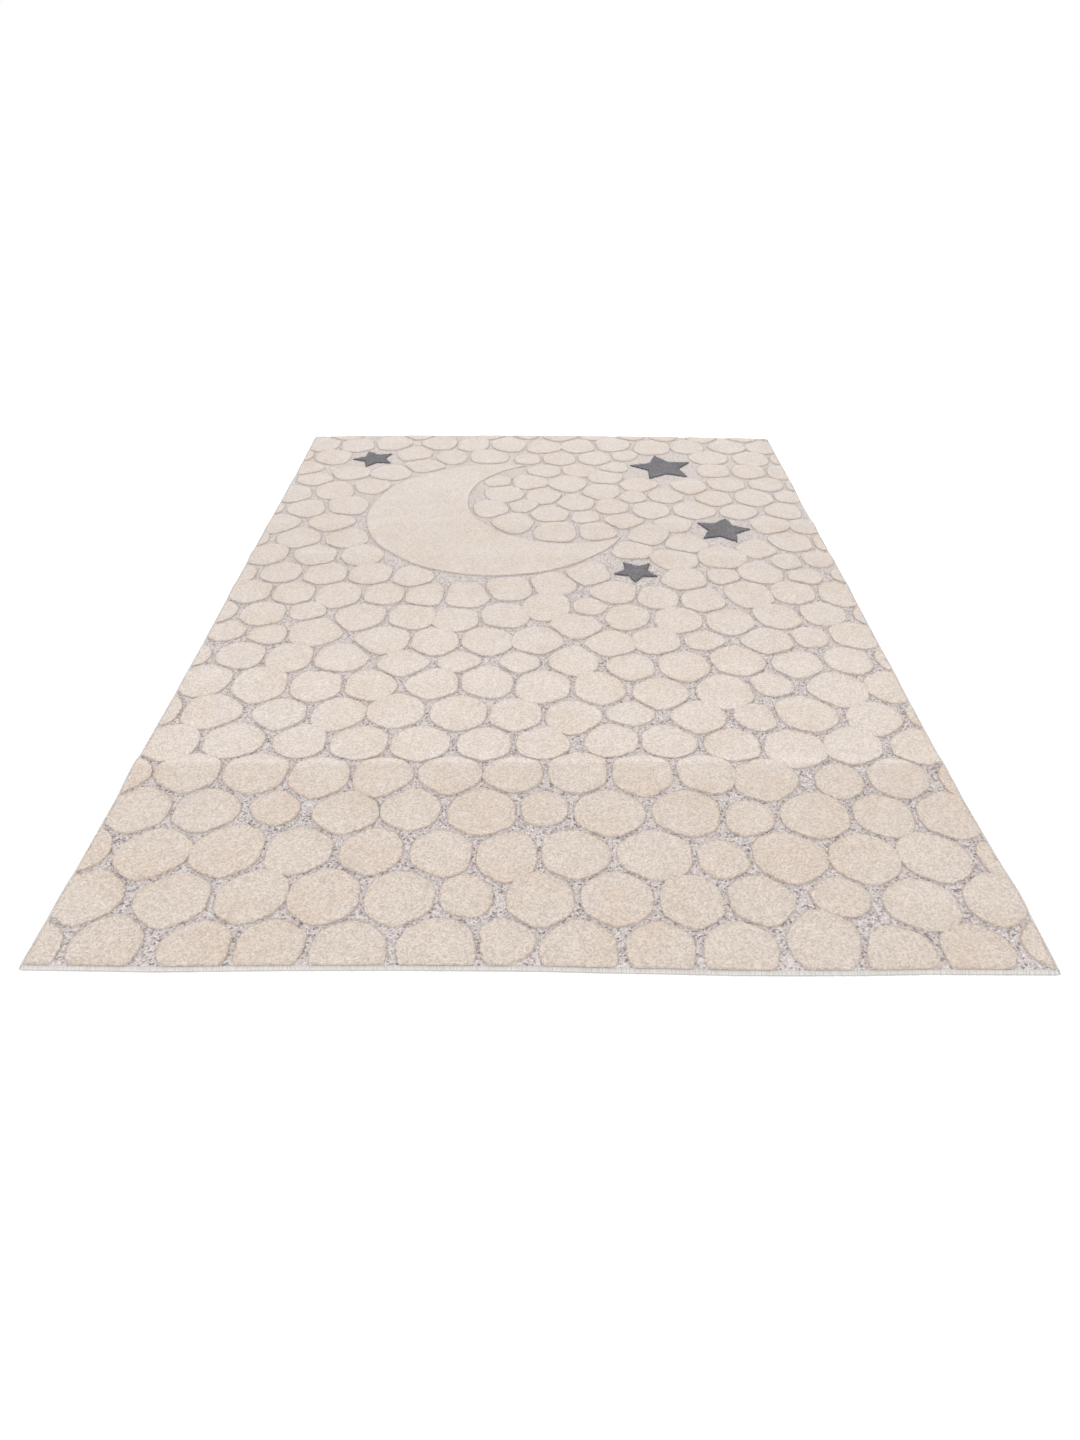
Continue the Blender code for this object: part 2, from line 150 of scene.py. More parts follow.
class NodeKit:
    """Adds nodes to one tree, of a material or of geometry."""

    def __init__(self, tree: bpy.types.NodeTree) -> None:
        """Keeps the tree that nodes are added to."""
        self.tree = tree

    def node(self, kind: str, values: dict | None = None, **settings: object) -> bpy.types.Node:
        """Adds a node.

        Args:
            kind: The node's type name.
            values: A value, socket or term for each input, by name or number.
            settings: Attributes of the node, which are set before its inputs.

        Returns:
            The node.
        """
        made = self.tree.nodes.new(kind)
        for name, value in settings.items():
            setattr(made, name, value)
        for key, value in (values or {}).items():
            given = value.socket if isinstance(value, Term) else value
            if isinstance(given, bpy.types.NodeSocket):
                self.tree.links.new(given, made.inputs[key])
            else:
                made.inputs[key].default_value = given
        return made

    def term(
        self, kind: str, values: dict | None = None, output: str | int = 0, **settings: object
    ) -> Term:
        """One output, by name or number, of a node that is added as node() does."""
        return Term(self, self.node(kind, values, **settings).outputs[output])

    def blend(self, factor: Term | float, first: object, second: object, how: str = "MIX") -> Term:
        """Two colours mixed in the blend type named, with the factor as the second's share."""
        values = {0: factor, 6: first, 7: second}
        return self.term("ShaderNodeMix", values, 2, data_type="RGBA", blend_type=how)

    def ramp(self, share: Term, stops: Sequence[tuple[float, Sequence[float]]]) -> Term:
        """Reads a colour off a ramp.

        Args:
            share: Where to read it.
            stops: A place from 0 to 1 and a colour for each stop, in rising order.

        Returns:
            The colour.
        """
        made = self.node("ShaderNodeValToRGB", {"Fac": share})
        elements = made.color_ramp.elements
        while len(elements) > 1:
            elements.remove(elements[-1])
        for index, (place, colour) in enumerate(stops):
            stop = elements[0] if index == 0 else elements.new(place)
            stop.position = place
            stop.color = (*colour, 1.0)
        return Term(self, made.outputs[0])


@dataclass(frozen=True)
class Noise:
    """A noise pattern: its spots per metre, its detail and its roughness."""

    per_m: float
    detail: float
    roughness: float = 0.5


class Fabric(NodeKit):
    """A material of cloth in the making, with the patterns that the finishes share."""

    def __init__(self, name: str) -> None:
        """Starts the material.

        Args:
            name: The finish's name.
        """
        self.material = bpy.data.materials.new(name)
        self.material.use_nodes = True
        super().__init__(self.material.node_tree)
        self.place = self.node("ShaderNodeTexCoord").outputs["Object"]

    def noise(self, noise: Noise) -> Term:
        """A noise pattern's value, from 0 to 1."""
        sizes = {"Scale": noise.per_m, "Detail": noise.detail, "Roughness": noise.roughness}
        return self.term("ShaderNodeTexNoise", {"Vector": self.place, **sizes})

    def cells(self, per_m: float, randomness: float) -> tuple[Term, Term]:
        """Lays out cells, one for each tuft or loop.

        Args:
            per_m: Cells per metre.
            randomness: How unevenly they lie, from 0 to 1.

        Returns:
            The distance from a cell's middle, and a random value of the cell's own.
        """
        sizes = {"Scale": per_m, "Randomness": randomness}
        made = self.node("ShaderNodeTexVoronoi", {"Vector": self.place, **sizes})
        spot = self.term("ShaderNodeSeparateColor", {"Color": made.outputs["Color"]})
        return Term(self, made.outputs["Distance"]), spot

    def share_along(self, slant: float = 0.0) -> Term:
        """Share of the rug's length from the front edge, its level lines slanted across the rug."""
        axes = self.node("ShaderNodeSeparateXYZ", {"Vector": self.place}).outputs
        return (Term(self, axes["Y"]) - Term(self, axes["X"]) * slant) / FLAT_SIZE[1] + 0.5

    def rise(self) -> Term:
        """How far up the pile a point is: 0 at the tufts' roots and 1 at their tips."""
        return self.term("ShaderNodeAttribute", output="Fac", attribute_name="rise")

    def surface(self, **values: object) -> bpy.types.Material:
        """Gives the surface shader its values.

        Args:
            values: A value, socket or term for each input, by its name with spaces left out.

        Returns:
            The finished material.
        """
        shader = self.tree.nodes["Principled BSDF"]
        inputs = {socket.name.replace(" ", ""): socket for socket in shader.inputs}
        for name, value in values.items():
            if isinstance(value, bpy.types.NodeSocket):
                self.tree.links.new(value, inputs[name])
            else:
                inputs[name].default_value = value
        return self.material

    def cloth(self, base: Term, relief: Term, roughness: float, sheen: float) -> bpy.types.Material:
        """Finishes the material as cloth.

        Args:
            base: The colour.
            relief: The height of the surface in metres.
            roughness: The roughness all over.
            sheen: The soft gloss of standing fibres.

        Returns:
            The finished material.
        """
        bump = self.node("ShaderNodeBump", {"Strength": 1.0, "Distance": 1.0, "Height": relief})
        return self.surface(
            BaseColor=base.socket, Normal=bump.outputs["Normal"], Roughness=roughness,
            SpecularIORLevel=0.12, SheenWeight=sheen, SheenRoughness=0.55)


def grey(value: float) -> Colour:
    """A grey as a colour."""
    return (value, value, value, 1.0)


# Finishes


@dataclass(frozen=True)
class CutPile:
    """Dense cut pile: tuft tips of one colour, softly mottled, with a painted root tone towards the
    tufts' roots: painted shade on dark pile, painted light on the shaded walls of pale pile.

    Painted light and shade along the rug, for the lean of the pile and the folds, change its tone, and a
    painted highlight makes the crest of a fold a pale line.
    """

    name: str
    tip: Colour
    warm: Colour
    pale: Colour
    # Painted root tone: painted shade on dark pile, painted light on the shaded walls of pale pile
    root: Colour
    tuft_contrast: float = 0.17
    grain_contrast: float = 0.16
    fibre_contrast: float = 0.14
    mottle: Noise = Noise(7.0, 3.0, 0.60)
    mottle_steps: tuple[float, float] = (0.38, 0.66)
    clouds: Noise = Noise(37.1, 4.0, 0.65)
    cloud_steps: tuple[float, float] = (0.45, 0.75)
    cloud_share: float = 0.55
    grain: Noise = Noise(240.0, 3.0, 0.70)
    fibres: Noise = Noise(1300.0, 2.0, 0.70)
    tufts_per_m: float = 330.0
    tuft_shake: float = 0.90
    tuft_slope: float = 1.6
    tuft_depth: float = 0.0016
    fibre_depth: float = 0.0006
    # How unevenly the painted root tone starts, and the rise over which it gives way to the tips' colour
    painted_root_mottle: float = 0.35
    painted_root_steps: tuple[float, float] = (0.0, 0.6)
    # Slant of the level lines of the painted light and shade along the rug
    painted_tone_slant: float = 0.009
    roughness: float = 0.93
    sheen: float = 0.30

    def material(self, painted_tones: Sequence[tuple[float, float, float]]) -> bpy.types.Material:
        """Builds the material.

        Args:
            painted_tones: Painted light and shade along the rug: brightness and coolness at shares of its
                length, for the lean of the pile and the folds, with a painted highlight on a fold's
                crest.

        Returns:
            The material.
        """
        made = Fabric(self.name)
        distance, spot = made.cells(self.tufts_per_m, self.tuft_shake)
        fibres, grain = made.noise(self.fibres), made.noise(self.grain)
        mottle = made.noise(self.mottle).between(*self.mottle_steps)
        clouds = made.noise(self.clouds).between(*self.cloud_steps) * self.cloud_share
        base = made.blend(mottle, self.tip, self.warm)
        base = made.blend(clouds, base, self.pale)
        stops = [(share, (tone, tone * cool, tone * cool**2)) for share, tone, cool in painted_tones]
        # Painted light and shade along the rug, for the lean of the pile and the folds
        lean = made.ramp(made.share_along(self.painted_tone_slant), stops)
        base = made.blend(1.0, base, lean, "MULTIPLY")
        shade = 1.0 - self.tuft_contrast + spot * (2 * self.tuft_contrast)
        shade = shade + (fibres - 0.5) * self.fibre_contrast + (grain - 0.5) * self.grain_contrast
        even = made.term("ShaderNodeCombineColor", {"Red": shade, "Green": shade, "Blue": shade})
        base = made.blend(1.0, base, even, "MULTIPLY")
        # Painted root tone towards the tufts' roots: painted shade on dark pile, painted light on the
        # shaded walls of pale pile
        rise = made.rise() + (spot - 0.5) * self.painted_root_mottle
        base = made.blend(rise.between(*self.painted_root_steps), self.root, base)
        dome = 1.0 - distance * self.tuft_slope
        relief = dome * self.tuft_depth + fibres * self.fibre_depth
        return made.cloth(base, relief, self.roughness, self.sheen)


@dataclass(frozen=True)
class LoopGround:
    """The low ground: short loops of mixed grey, lilac and beige yarn, with dark and pale flecks, painted
    shade in the gaps between loops and painted light towards the back.
    """

    name: str = "heather_loops"
    loops_per_m: float = 270.0
    loop_shake: float = 0.85
    loop_slope: float = 1.3
    loop_depth: float = 0.0026
    fuzz: Noise = Noise(1080.0, 2.0)
    fuzz_share: float = 0.14
    fuzz_depth: float = 0.00065
    # Painted shade in the gaps between loops: its colour, where it starts and how strong it is
    gap_shade_tone: Colour = (0.34, 0.29, 0.29, 1.0)
    gap_shade_steps: tuple[float, float] = (0.45, 1.0)
    gap_shade_share: float = 0.22
    # Painted light: the ground paler towards the back of the rug
    far_light_tone: Colour = (0.820, 0.745, 0.700, 1.0)
    far_light_steps: tuple[float, float] = (0.20, 0.95)
    far_light_share: float = 0.65
    flecks: tuple[tuple[float, tuple[float, float, float]], ...] = (
        (0.00, (0.230, 0.196, 0.190)),
        (0.12, (0.360, 0.312, 0.305)),
        (0.24, (0.620, 0.556, 0.545)),
        (0.48, (0.760, 0.686, 0.670)),
        (0.74, (0.830, 0.758, 0.735)),
        (0.90, (0.880, 0.830, 0.800)),
        (1.00, (0.920, 0.885, 0.860)),
    )

    def material(self) -> bpy.types.Material:
        """Builds the material.

        Returns:
            The material.
        """
        made = Fabric(self.name)
        distance, spot = made.cells(self.loops_per_m, self.loop_shake)
        fuzz, reach = made.noise(self.fuzz), distance * self.loop_slope
        base = made.ramp(spot * (1 - self.fuzz_share) + fuzz * self.fuzz_share, self.flecks)
        # Painted shade in the gaps between loops
        base = made.blend(reach.between(*self.gap_shade_steps) * self.gap_shade_share, base, self.gap_shade_tone)
        # Painted light, paler towards the back
        away = made.share_along().between(*self.far_light_steps)
        base = made.blend(away * self.far_light_share, base, self.far_light_tone)
        relief = (1.0 - reach) * self.loop_depth + fuzz * self.fuzz_depth
        return made.cloth(base, relief, roughness=0.95, sheen=0.15)


@dataclass(frozen=True)
class OvercastYarn:
    """Off-white yarn laid close over the edge, its plies showing along each stitch."""

    name: str
    # Painted shade in the dip between the two rolls and at the stitch's ends, where the rise attribute is
    # low
    groove_shade: Colour = (0.360, 0.335, 0.318, 1.0)
    colour: Colour = (0.700, 0.676, 0.650, 1.0)
    shade: Colour = (0.560, 0.528, 0.505, 1.0)
    drift: Noise = Noise(22.0, 3.0)
    drift_steps: tuple[float, float] = (0.35, 0.75)
    drift_share: float = 0.35
    plies: Noise = Noise(900.0, 2.0, 0.70)
    ply_steps: tuple[float, float] = (0.40, 0.72)
    ply_share: float = 0.30
    ply_depth: float = 0.0005

    def material(self) -> bpy.types.Material:
        """Builds the material.

        Returns:
            The material.
        """
        made = Fabric(self.name)
        drift, plies = made.noise(self.drift), made.noise(self.plies)
        base = made.blend(drift.between(*self.drift_steps) * self.drift_share, self.colour, self.shade)
        base = made.blend(plies.between(*self.ply_steps) * self.ply_share, base, self.shade)
        # Painted shade where the rise attribute is low
        base = made.blend(made.rise(), self.groove_shade, base)
        return made.cloth(base, plies * self.ply_depth, roughness=0.85, sheen=0.20)


@dataclass(frozen=True)
class WovenBacking:
    """The underside: undyed warp and weft of a plain weave, with a thin dressing that dulls it."""

    name: str = "woven_backing"
    warp: Colour = (0.640, 0.575, 0.480, 1.0)
    weft: Colour = (0.740, 0.690, 0.610, 1.0)
    dressing: Colour = grey(0.62)
    wear: Noise = Noise(6.0, 4.0)
    wear_steps: tuple[float, float] = (0.4, 0.7)
    wear_share: float = 0.25
    wave_scale: float = 14.5
    thread_depth: float = 0.0008

    def material(self) -> bpy.types.Material:
        """Builds the material.

        Returns:
            The material.
        """
        made = Fabric(self.name)
        values = {"Vector": made.place, "Scale": self.wave_scale, "Distortion": 0.6, "Detail": 1.0,
                  "Detail Scale": 3.0}
        warp, weft = (
            made.term("ShaderNodeTexWave", values, "Fac", bands_direction=direction)
            for direction in ("X", "Y")
        )
        base = made.blend(warp, self.weft, self.warp)
        wear = made.noise(self.wear).between(*self.wear_steps)
        base = made.blend(wear * self.wear_share, base, self.dressing)
        return made.cloth(base, warp.at_least(weft) * self.thread_depth, roughness=0.90, sheen=0.05)


# The plan


@dataclass(frozen=True)
class Fold:
    """A soft cross fold: its crest's distance from the front edge, its heights and its reach."""

    at_left: float
    at_right: float
    left: float
    middle: float
    right: float
    to_front: float
    to_back: float

    def height(self, x: np.ndarray, y: np.ndarray) -> np.ndarray:
        """How far this fold lifts the sheet over points of the plan.

        Args:
            x: Places across the rug.
            y: Places along the rug.

        Returns:
            The lift at each place.
        """
        share = np.clip(x / FLAT_SIZE[0] + 0.5, 0, 1)
        past = y - (self.at_left * (1 - share) + self.at_right * share - FLAT_SIZE[1] / 2)
        away = np.clip(np.abs(past) / np.where(past < 0, self.to_front, self.to_back), 0, 1)
        side = np.abs(2 * share - 1)
        end = np.where(share < 0.5, self.left, self.right)
        crest = self.middle * (1 - side * side) + end * side * side
        return crest * 0.5 * (1 + np.cos(math.pi * away))


@dataclass(frozen=True)
class RugPlan:
    """The rug's outline and the way that it lies: uneven edges and soft cross folds."""

    binding_width: float = 0.0070
    end_steps: int = 16
    fold_places: tuple[float, ...] = (-1.0, -0.45, 0.0, 0.45, 1.0)
    nearest_places: float = 0.022
    # Share of the length, and how far the left and right edges run in there
    side_insets: tuple[tuple[float, float, float], ...] = (
        (0.00, 0.0000, 0.0030),
        (0.065, 0.0020, 0.0000),
        (0.12, 0.0060, 0.0045),
        (0.21, 0.0040, 0.0085),
        (0.28, 0.0065, 0.0075),
        (0.42, 0.0062, 0.0055),
        (0.54, 0.0040, 0.0030),
        (0.69, 0.0030, 0.0040),
        (0.75, 0.0036, 0.0062),
        (0.84, 0.0038, 0.0028),
        (1.00, 0.0000, 0.0030),
    )
    # Share of the width, and how far the front and back edges run in there
    end_insets: tuple[tuple[float, float, float], ...] = (
        (0.00, 0.0040, 0.0110),
        (0.14, 0.0016, 0.0015),
        (0.24, 0.0054, 0.0030),
        (0.38, 0.0068, 0.0004),
        (0.50, 0.0062, 0.0000),
        (0.58, 0.0034, 0.0006),
        (0.70, 0.0000, 0.0020),
        (0.79, 0.0003, 0.0045),
        (0.86, 0.0040, 0.0070),
        (1.00, 0.0040, 0.0110),
    )
    folds: tuple[Fold, ...] = (
        Fold(0.150, 0.165, 0.0012, 0.0000, 0.0028, 0.060, 0.060),
        Fold(0.485, 0.500, 0.0048, 0.0064, 0.0042, 0.105, 0.032),
        Fold(0.800, 0.825, 0.0015, 0.0020, 0.0022, 0.080, 0.080),
        Fold(1.200, 1.230, 0.0030, 0.0020, 0.0026, 0.070, 0.040),
        Fold(1.390, 1.370, 0.0042, 0.0030, 0.0032, 0.070, 0.042),
        Fold(1.560, 1.590, 0.0026, 0.0030, 0.0036, 0.065, 0.045),
        Fold(1.880, 1.850, 0.0030, 0.0022, 0.0012, 0.080, 0.070),
        Fold(2.300, 2.300, 0.0008, 0.0045, 0.0016, 0.130, 0.130),
    )

    def on_folds(self, plan: np.ndarray, height: np.ndarray | float) -> np.ndarray:
        """Points of the plan raised by a height and by what the folds lift the sheet there."""
        lift = sum(fold.height(plan[:, 0], plan[:, 1]) for fold in self.folds)
        return np.column_stack([plan, lift + height])

    @staticmethod
    def _eased(table: Sequence[Sequence[float]], column: int, share: np.ndarray) -> np.ndarray:
        """Reads a column of a table between its rows, with no kink at a row.

        Args:
            table: Rows whose first number is a share of a side.
            column: The column to read.
            share: Where to read it.

        Returns:
            The column's value at each share.
        """
        rows = np.array(table)
        row = np.clip(np.searchsorted(rows[:, 0], share, side="right") - 1, 0, len(rows) - 2)
        part = (share - rows[row, 0]) / (rows[row + 1, 0] - rows[row, 0])
        part = part * part * (3 - 2 * part)
        return rows[row, column] * (1 - part) + rows[row + 1, column] * part

    def _side_places(self, share: float) -> np.ndarray:
        """Shares of the length, from 0 up to 1, where the folds need a point of the border.

        Args:
            share: Share of the width.

        Returns:
            The shares of the length, in rising order.
        """
        length = FLAT_SIZE[1]
        wanted = []
        for fold in self.folds:
            crest = fold.at_left * (1 - share) + fold.at_right * share
            for part in self.fold_places:
                wanted.append((crest + part * (fold.to_front if part < 0 else fold.to_back)) / length)
        places = [0.0]
        gap = self.nearest_places / length
        for place in sorted(wanted):
            if places[-1] + gap < place < 1 - gap:
                places.append(place)
        return np.array(places)

    @cached_property
    def sides(self) -> dict[str, np.ndarray]:
        """The pile's border, one run of points for each edge, anticlockwise from the front left.

        Returns:
            The points of each edge, both of its corners included.
        """
        half_width, half_length = FLAT_SIZE[0] / 2, FLAT_SIZE[1] / 2
        on_right = self._side_places(1.0)
        on_left = np.append(self._side_places(0.0), 1.0)[::-1][:-1]
        across = np.arange(self.end_steps) / self.end_steps
        left_x = self._eased(self.side_insets, 1, 0.0) - half_width
        right_x = half_width - self._eased(self.side_insets, 2, 0.0)
        front_y = self._eased(self.end_insets, 1, 0.0) - half_length
        back_y = half_length - self._eased(self.end_insets, 2, 0.0)
        runs = [
            (left_x + across * (right_x - left_x), self._eased(self.end_insets, 1, across) - half_length),
            (half_width - self._eased(self.side_insets, 2, on_right),
             front_y + on_right * (back_y - front_y)),
            (right_x + across * (left_x - right_x),
             half_length - self._eased(self.end_insets, 2, 1 - across)),
            (self._eased(self.side_insets, 1, on_left) - half_width,
             front_y + on_left * (back_y - front_y)),
        ]
        plan = np.concatenate([np.stack(run, axis=1) for run in runs])
        low, high = plan.min(axis=0), plan.max(axis=0)
        room = np.array(FLAT_SIZE) - 2 * self.binding_width
        plan = (plan - (low + high) / 2) * room / (high - low)
        closed = np.concatenate([plan, plan[:1]])
        sides, start = {}, 0
        for edge, run in zip(("front", "right", "back", "left"), runs):
            sides[edge] = closed[start:start + len(run[0]) + 1]
            start += len(run[0])
        return sides

    def reach(self, points: np.ndarray, inset: float) -> tuple[np.ndarray, np.ndarray]:
        """How far the pile reaches, across and along the rug, level with points of the plan.

        Args:
            points: The points.
            inset: How far inside the border the limits lie.

        Returns:
            The lowest and the highest place allowed for each point.
        """
        x, y = points[:, 0], points[:, 1]
        front, right = self.sides["front"], self.sides["right"]
        back, left = self.sides["back"][::-1], self.sides["left"][::-1]
        low = [np.interp(y, left[:, 1], left[:, 0]), np.interp(x, front[:, 0], front[:, 1])]
        high = [np.interp(y, right[:, 1], right[:, 0]), np.interp(x, back[:, 0], back[:, 1])]
        return np.stack(low, axis=1) + inset, np.stack(high, axis=1) - inset


def ways_out(along: np.ndarray) -> np.ndarray:
    """Unit vectors to the right of the steps given, which is outward round an anticlockwise line."""
    out = np.stack([along[:, 1], -along[:, 0]], axis=1)
    return out / np.maximum(np.linalg.norm(out, axis=1)[:, None], 1e-9)


# Motifs and pebbles


@dataclass(frozen=True)
class CrescentMoon:
    """A crescent: an outer circle with a bite out of it."""

    centre: tuple[float, float] = (-0.130, 0.500)
    radius: float = 0.385
    bite_centre: tuple[float, float] = (0.075, 0.605)
    bite_radius: float = 0.300

    def outside(self, points: np.ndarray) -> tuple[np.ndarray, np.ndarray]:
        """How far points are outside the crescent, and the way out of it.

        Args:
            points: Places of the plan.

        Returns:
            The distances, below 0 inside, and the unit ways out.
        """
        from_outer = points - np.array(self.centre)
        from_bite = points - np.array(self.bite_centre)
        outer_far = np.linalg.norm(from_outer, axis=1)
        bite_far = np.linalg.norm(from_bite, axis=1)
        past, in_bite = outer_far - self.radius, self.bite_radius - bite_far
        ways = np.where(
            (past > in_bite)[:, None],
            from_outer / outer_far[:, None],
            -from_bite / bite_far[:, None],
        )
        return np.maximum(past, in_bite), ways

    def outline(self, inset: float, steps: int) -> np.ndarray:
        """The crescent's outline moved inward, anticlockwise from its upper horn.

        Args:
            inset: How far inward.
            steps: Points on each of its two arcs.

        Returns:
            The outline's points.
        """
        outer, bite = np.array(self.centre), np.array(self.bite_centre)
        radius, bite_radius = self.radius - inset, self.bite_radius + inset
        apart = np.linalg.norm(bite - outer)
        heading = math.atan2(bite[1] - outer[1], bite[0] - outer[0])
        spread = math.acos((apart**2 + radius**2 - bite_radius**2) / (2 * apart * radius))
        inner = math.acos((apart**2 + bite_radius**2 - radius**2) / (2 * apart * bite_radius))
        turn = np.linspace(heading + spread, heading + 2 * math.pi - spread, steps)
        back = np.linspace(heading + math.pi + inner, heading + math.pi - inner, steps)[1:-1]
        return np.concatenate([
            outer + radius * np.stack([np.cos(turn), np.sin(turn)], axis=1),
            bite + bite_radius * np.stack([np.cos(back), np.sin(back)], axis=1),
        ])


@dataclass(frozen=True)
class Star:
    """A five-pointed star."""

    centre: tuple[float, float]
    radius: float
    turn_deg: float
    waist: float = 0.50
    points: int = 5

    def outside(self, points: np.ndarray) -> tuple[np.ndarray, np.ndarray]:
        """How far points are outside the star's outer circle, and the way out of it.

        Args:
            points: Places of the plan.

        Returns:
            The distances, below 0 inside, and the unit ways out.
        """
        away = points - np.array(self.centre)
        far = np.linalg.norm(away, axis=1)
        return far - self.radius, away / far[:, None]

    def outline(self, inset: float, steps: int) -> np.ndarray:
        """The star's outline moved inward, anticlockwise.

        Args:
            inset: How far inward.
            steps: Points on each straight side.

        Returns:
            The outline's points.
        """
        corners = np.arange(2 * self.points + 1)
        angles = math.radians(self.turn_deg + 90) + corners * math.pi / self.points
        reach = np.where(corners % 2 == 0, self.radius, self.radius * self.waist)
        tips = reach[:, None] * np.stack([np.cos(angles), np.sin(angles)], axis=1)
        side = tips[1] - tips[0]
        apothem = abs(tips[0][0] * side[1] - tips[0][1] * side[0]) / np.linalg.norm(side)
        part = np.arange(steps) / steps
        runs = [a + part[:, None] * (b - a) for a, b in zip(tips, tips[1:])]
        return np.array(self.centre) + np.concatenate(runs) * (1 - inset / apothem)


Motif = CrescentMoon | Star


@dataclass(frozen=True)
class Pebble:
    """One pebble of high pile: a point well inside it and its outline."""

    middle: np.ndarray
    rim: np.ndarray


@dataclass(frozen=True)
class PebbleField:
    """The pebbles' layout: staggered rows, shaken, and pushed clear of each other and the motifs."""

    row_pitch: float = 0.1020
    pebble_pitch: float = 0.1240
    shake: float = 0.0200
    radii: tuple[float, float] = (0.0545, 0.0650)
    small_radius: float = 0.0440
    small_share: float = 0.09
    fullness: float = 1.12
    stretch: float = 0.11
    settling_rounds: int = 90
    push_apart: float = 0.25
    push_from_motif: float = 0.60
    neighbour_reach: float = 0.160
    gaps: tuple[float, float] = (0.0030, 0.0080)
    merged_gap: float = -0.0180
    merged_share: float = 0.20
    motif_gap: float = 0.0080
    rounding_power: float = 8.0
    least_facing: float = 0.05
    least_shown: float = 0.60
    border_margin: float = 0.12
    outline_steps: int = 60
    seed: int = 7

    def _settled(self, motifs: Sequence[Motif]) -> tuple[np.ndarray, np.ndarray]:
        """Lays out the pebbles.

        Args:
            motifs: What they keep clear of.

        Returns:
            Their centres and radii.
        """
        width, length = FLAT_SIZE
        rng = np.random.RandomState(self.seed)
        centres = []
        for row in range(-1, math.ceil(length / self.row_pitch) + 1):
            stagger = (row % 2) * self.pebble_pitch / 2
            for column in range(-1, math.ceil(width / self.pebble_pitch) + 1):
                x = column * self.pebble_pitch + stagger - width / 2
                y = row * self.row_pitch + self.row_pitch / 2 - length / 2
                across = rng.uniform(-self.shake, self.shake)
                centres.append((x + across, y + rng.uniform(-self.shake, self.shake)))
        centres = np.array(centres)
        radii = rng.uniform(*self.radii, len(centres))
        radii[rng.rand(len(centres)) < self.small_share] = self.small_radius
        keep = np.all([motif.outside(centres)[0] > 0 for motif in motifs], axis=0)
        centres, radii = centres[keep], radii[keep]
        for _ in range(self.settling_rounds):
            apart = centres[:, None] - centres[None]
            far = np.linalg.norm(apart, axis=2) + np.eye(len(centres))
            crowding = np.clip(radii[:, None] + radii[None] - far, 0, None)
            crowding = crowding * (1 - np.eye(len(centres)))
            push = (apart / far[..., None] * crowding[..., None]).sum(axis=1)
            centres = centres + self.push_apart * push
            for motif in motifs:
                outside, way = motif.outside(centres)
                short = np.clip(radii + self.motif_gap - outside, 0, None)
                centres = centres + self.push_from_motif * short[:, None] * way
        return centres, radii

    def _limits(
        self, centres: np.ndarray, radii: np.ndarray, motifs: Sequence[Motif]
    ) -> list[list[tuple[np.ndarray, float]]]:
        """Finds the lines that each pebble stays behind.

        Args:
            centres: The pebbles' centres.
            radii: Their radii.
            motifs: What they keep clear of.

        Returns:
            For each pebble, unit ways out and distances of the lines.
        """
        rng = np.random.RandomState(self.seed + 1)
        count = len(centres)
        gaps = rng.uniform(*self.gaps, (count, count))
        gaps[rng.rand(count, count) < self.merged_share] = self.merged_gap
        gaps = np.triu(gaps, 1) + np.triu(gaps, 1).T
        limits = [[] for _ in range(count)]
        for first in range(count):
            for second in range(count):
                way = centres[second] - centres[first]
                far = np.linalg.norm(way)
                if first == second or far > self.neighbour_reach:
                    continue
                line = (far**2 + radii[first] ** 2 - radii[second] ** 2) / (2 * far)
                limits[first].append((way / far, line - gaps[first, second] / 2))
        for motif in motifs:
            outside, ways = motif.outside(centres)
            for index in np.flatnonzero(outside < 2 * self.radii[1]):
                limits[index].append((-ways[index], outside[index] - self.motif_gap))
        return limits

    def pebbles(self, motifs: Sequence[Motif], plan: RugPlan) -> list[Pebble]:
        """Outlines every pebble that shows, those at the border cut off by it.

        Args:
            motifs: What the pebbles keep clear of.
            plan: The rug's plan.

        Returns:
            The pebbles.
        """
        centres, radii = self._settled(motifs)
        limits = self._limits(centres, radii, motifs)
        rng = np.random.RandomState(self.seed + 2)
        made = []
        for index, (centre, radius) in enumerate(zip(centres, radii)):
            stretch, heading = rng.uniform(0, self.stretch), rng.uniform(0, math.pi)
            start = rng.uniform(0, 1)
            past = np.abs(centre) - np.array(FLAT_SIZE) / 2 + plan.binding_width
            if past.max() > self.least_shown * radius:
                continue
            angles = start + np.arange(self.outline_steps) * 2 * math.pi / self.outline_steps
            ways = np.stack([np.cos(angles), np.sin(angles)], axis=1)
            oval = self.fullness * radius * (1 + stretch * np.cos(2 * (angles - heading)))
            pressed = oval**-self.rounding_power
            for way, distance in limits[index]:
                facing = ways @ way
                near = np.clip(facing, self.least_facing, None) / distance
                pressed += np.where(facing > self.least_facing, near, 0) ** self.rounding_power
            rim = centre + pressed[:, None] ** (-1 / self.rounding_power) * ways
            made.append(self._cut_at_border(centre, radius, rim, plan))
        return made

    def _cut_at_border(
        self, centre: np.ndarray, radius: float, rim: np.ndarray, plan: RugPlan
    ) -> Pebble:
        """Pulls what would pass the border back onto it, towards a point inside.

        Args:
            centre: The pebble's centre.
            radius: Its radius.
            rim: Its outline.
            plan: The rug's plan.

        Returns:
            The pebble as it shows.
        """
        low, high = plan.reach(centre[None], self.border_margin * radius)
        middle = np.clip(centre, low[0], high[0])
        low, high = plan.reach(rim, 0.0)
        away = rim - middle
        room = np.where(away > 0, high - middle, middle - low) / np.maximum(np.abs(away), 1e-9)
        return Pebble(middle, middle + away * np.minimum(room.min(axis=1), 1.0)[:, None])


# Meshes


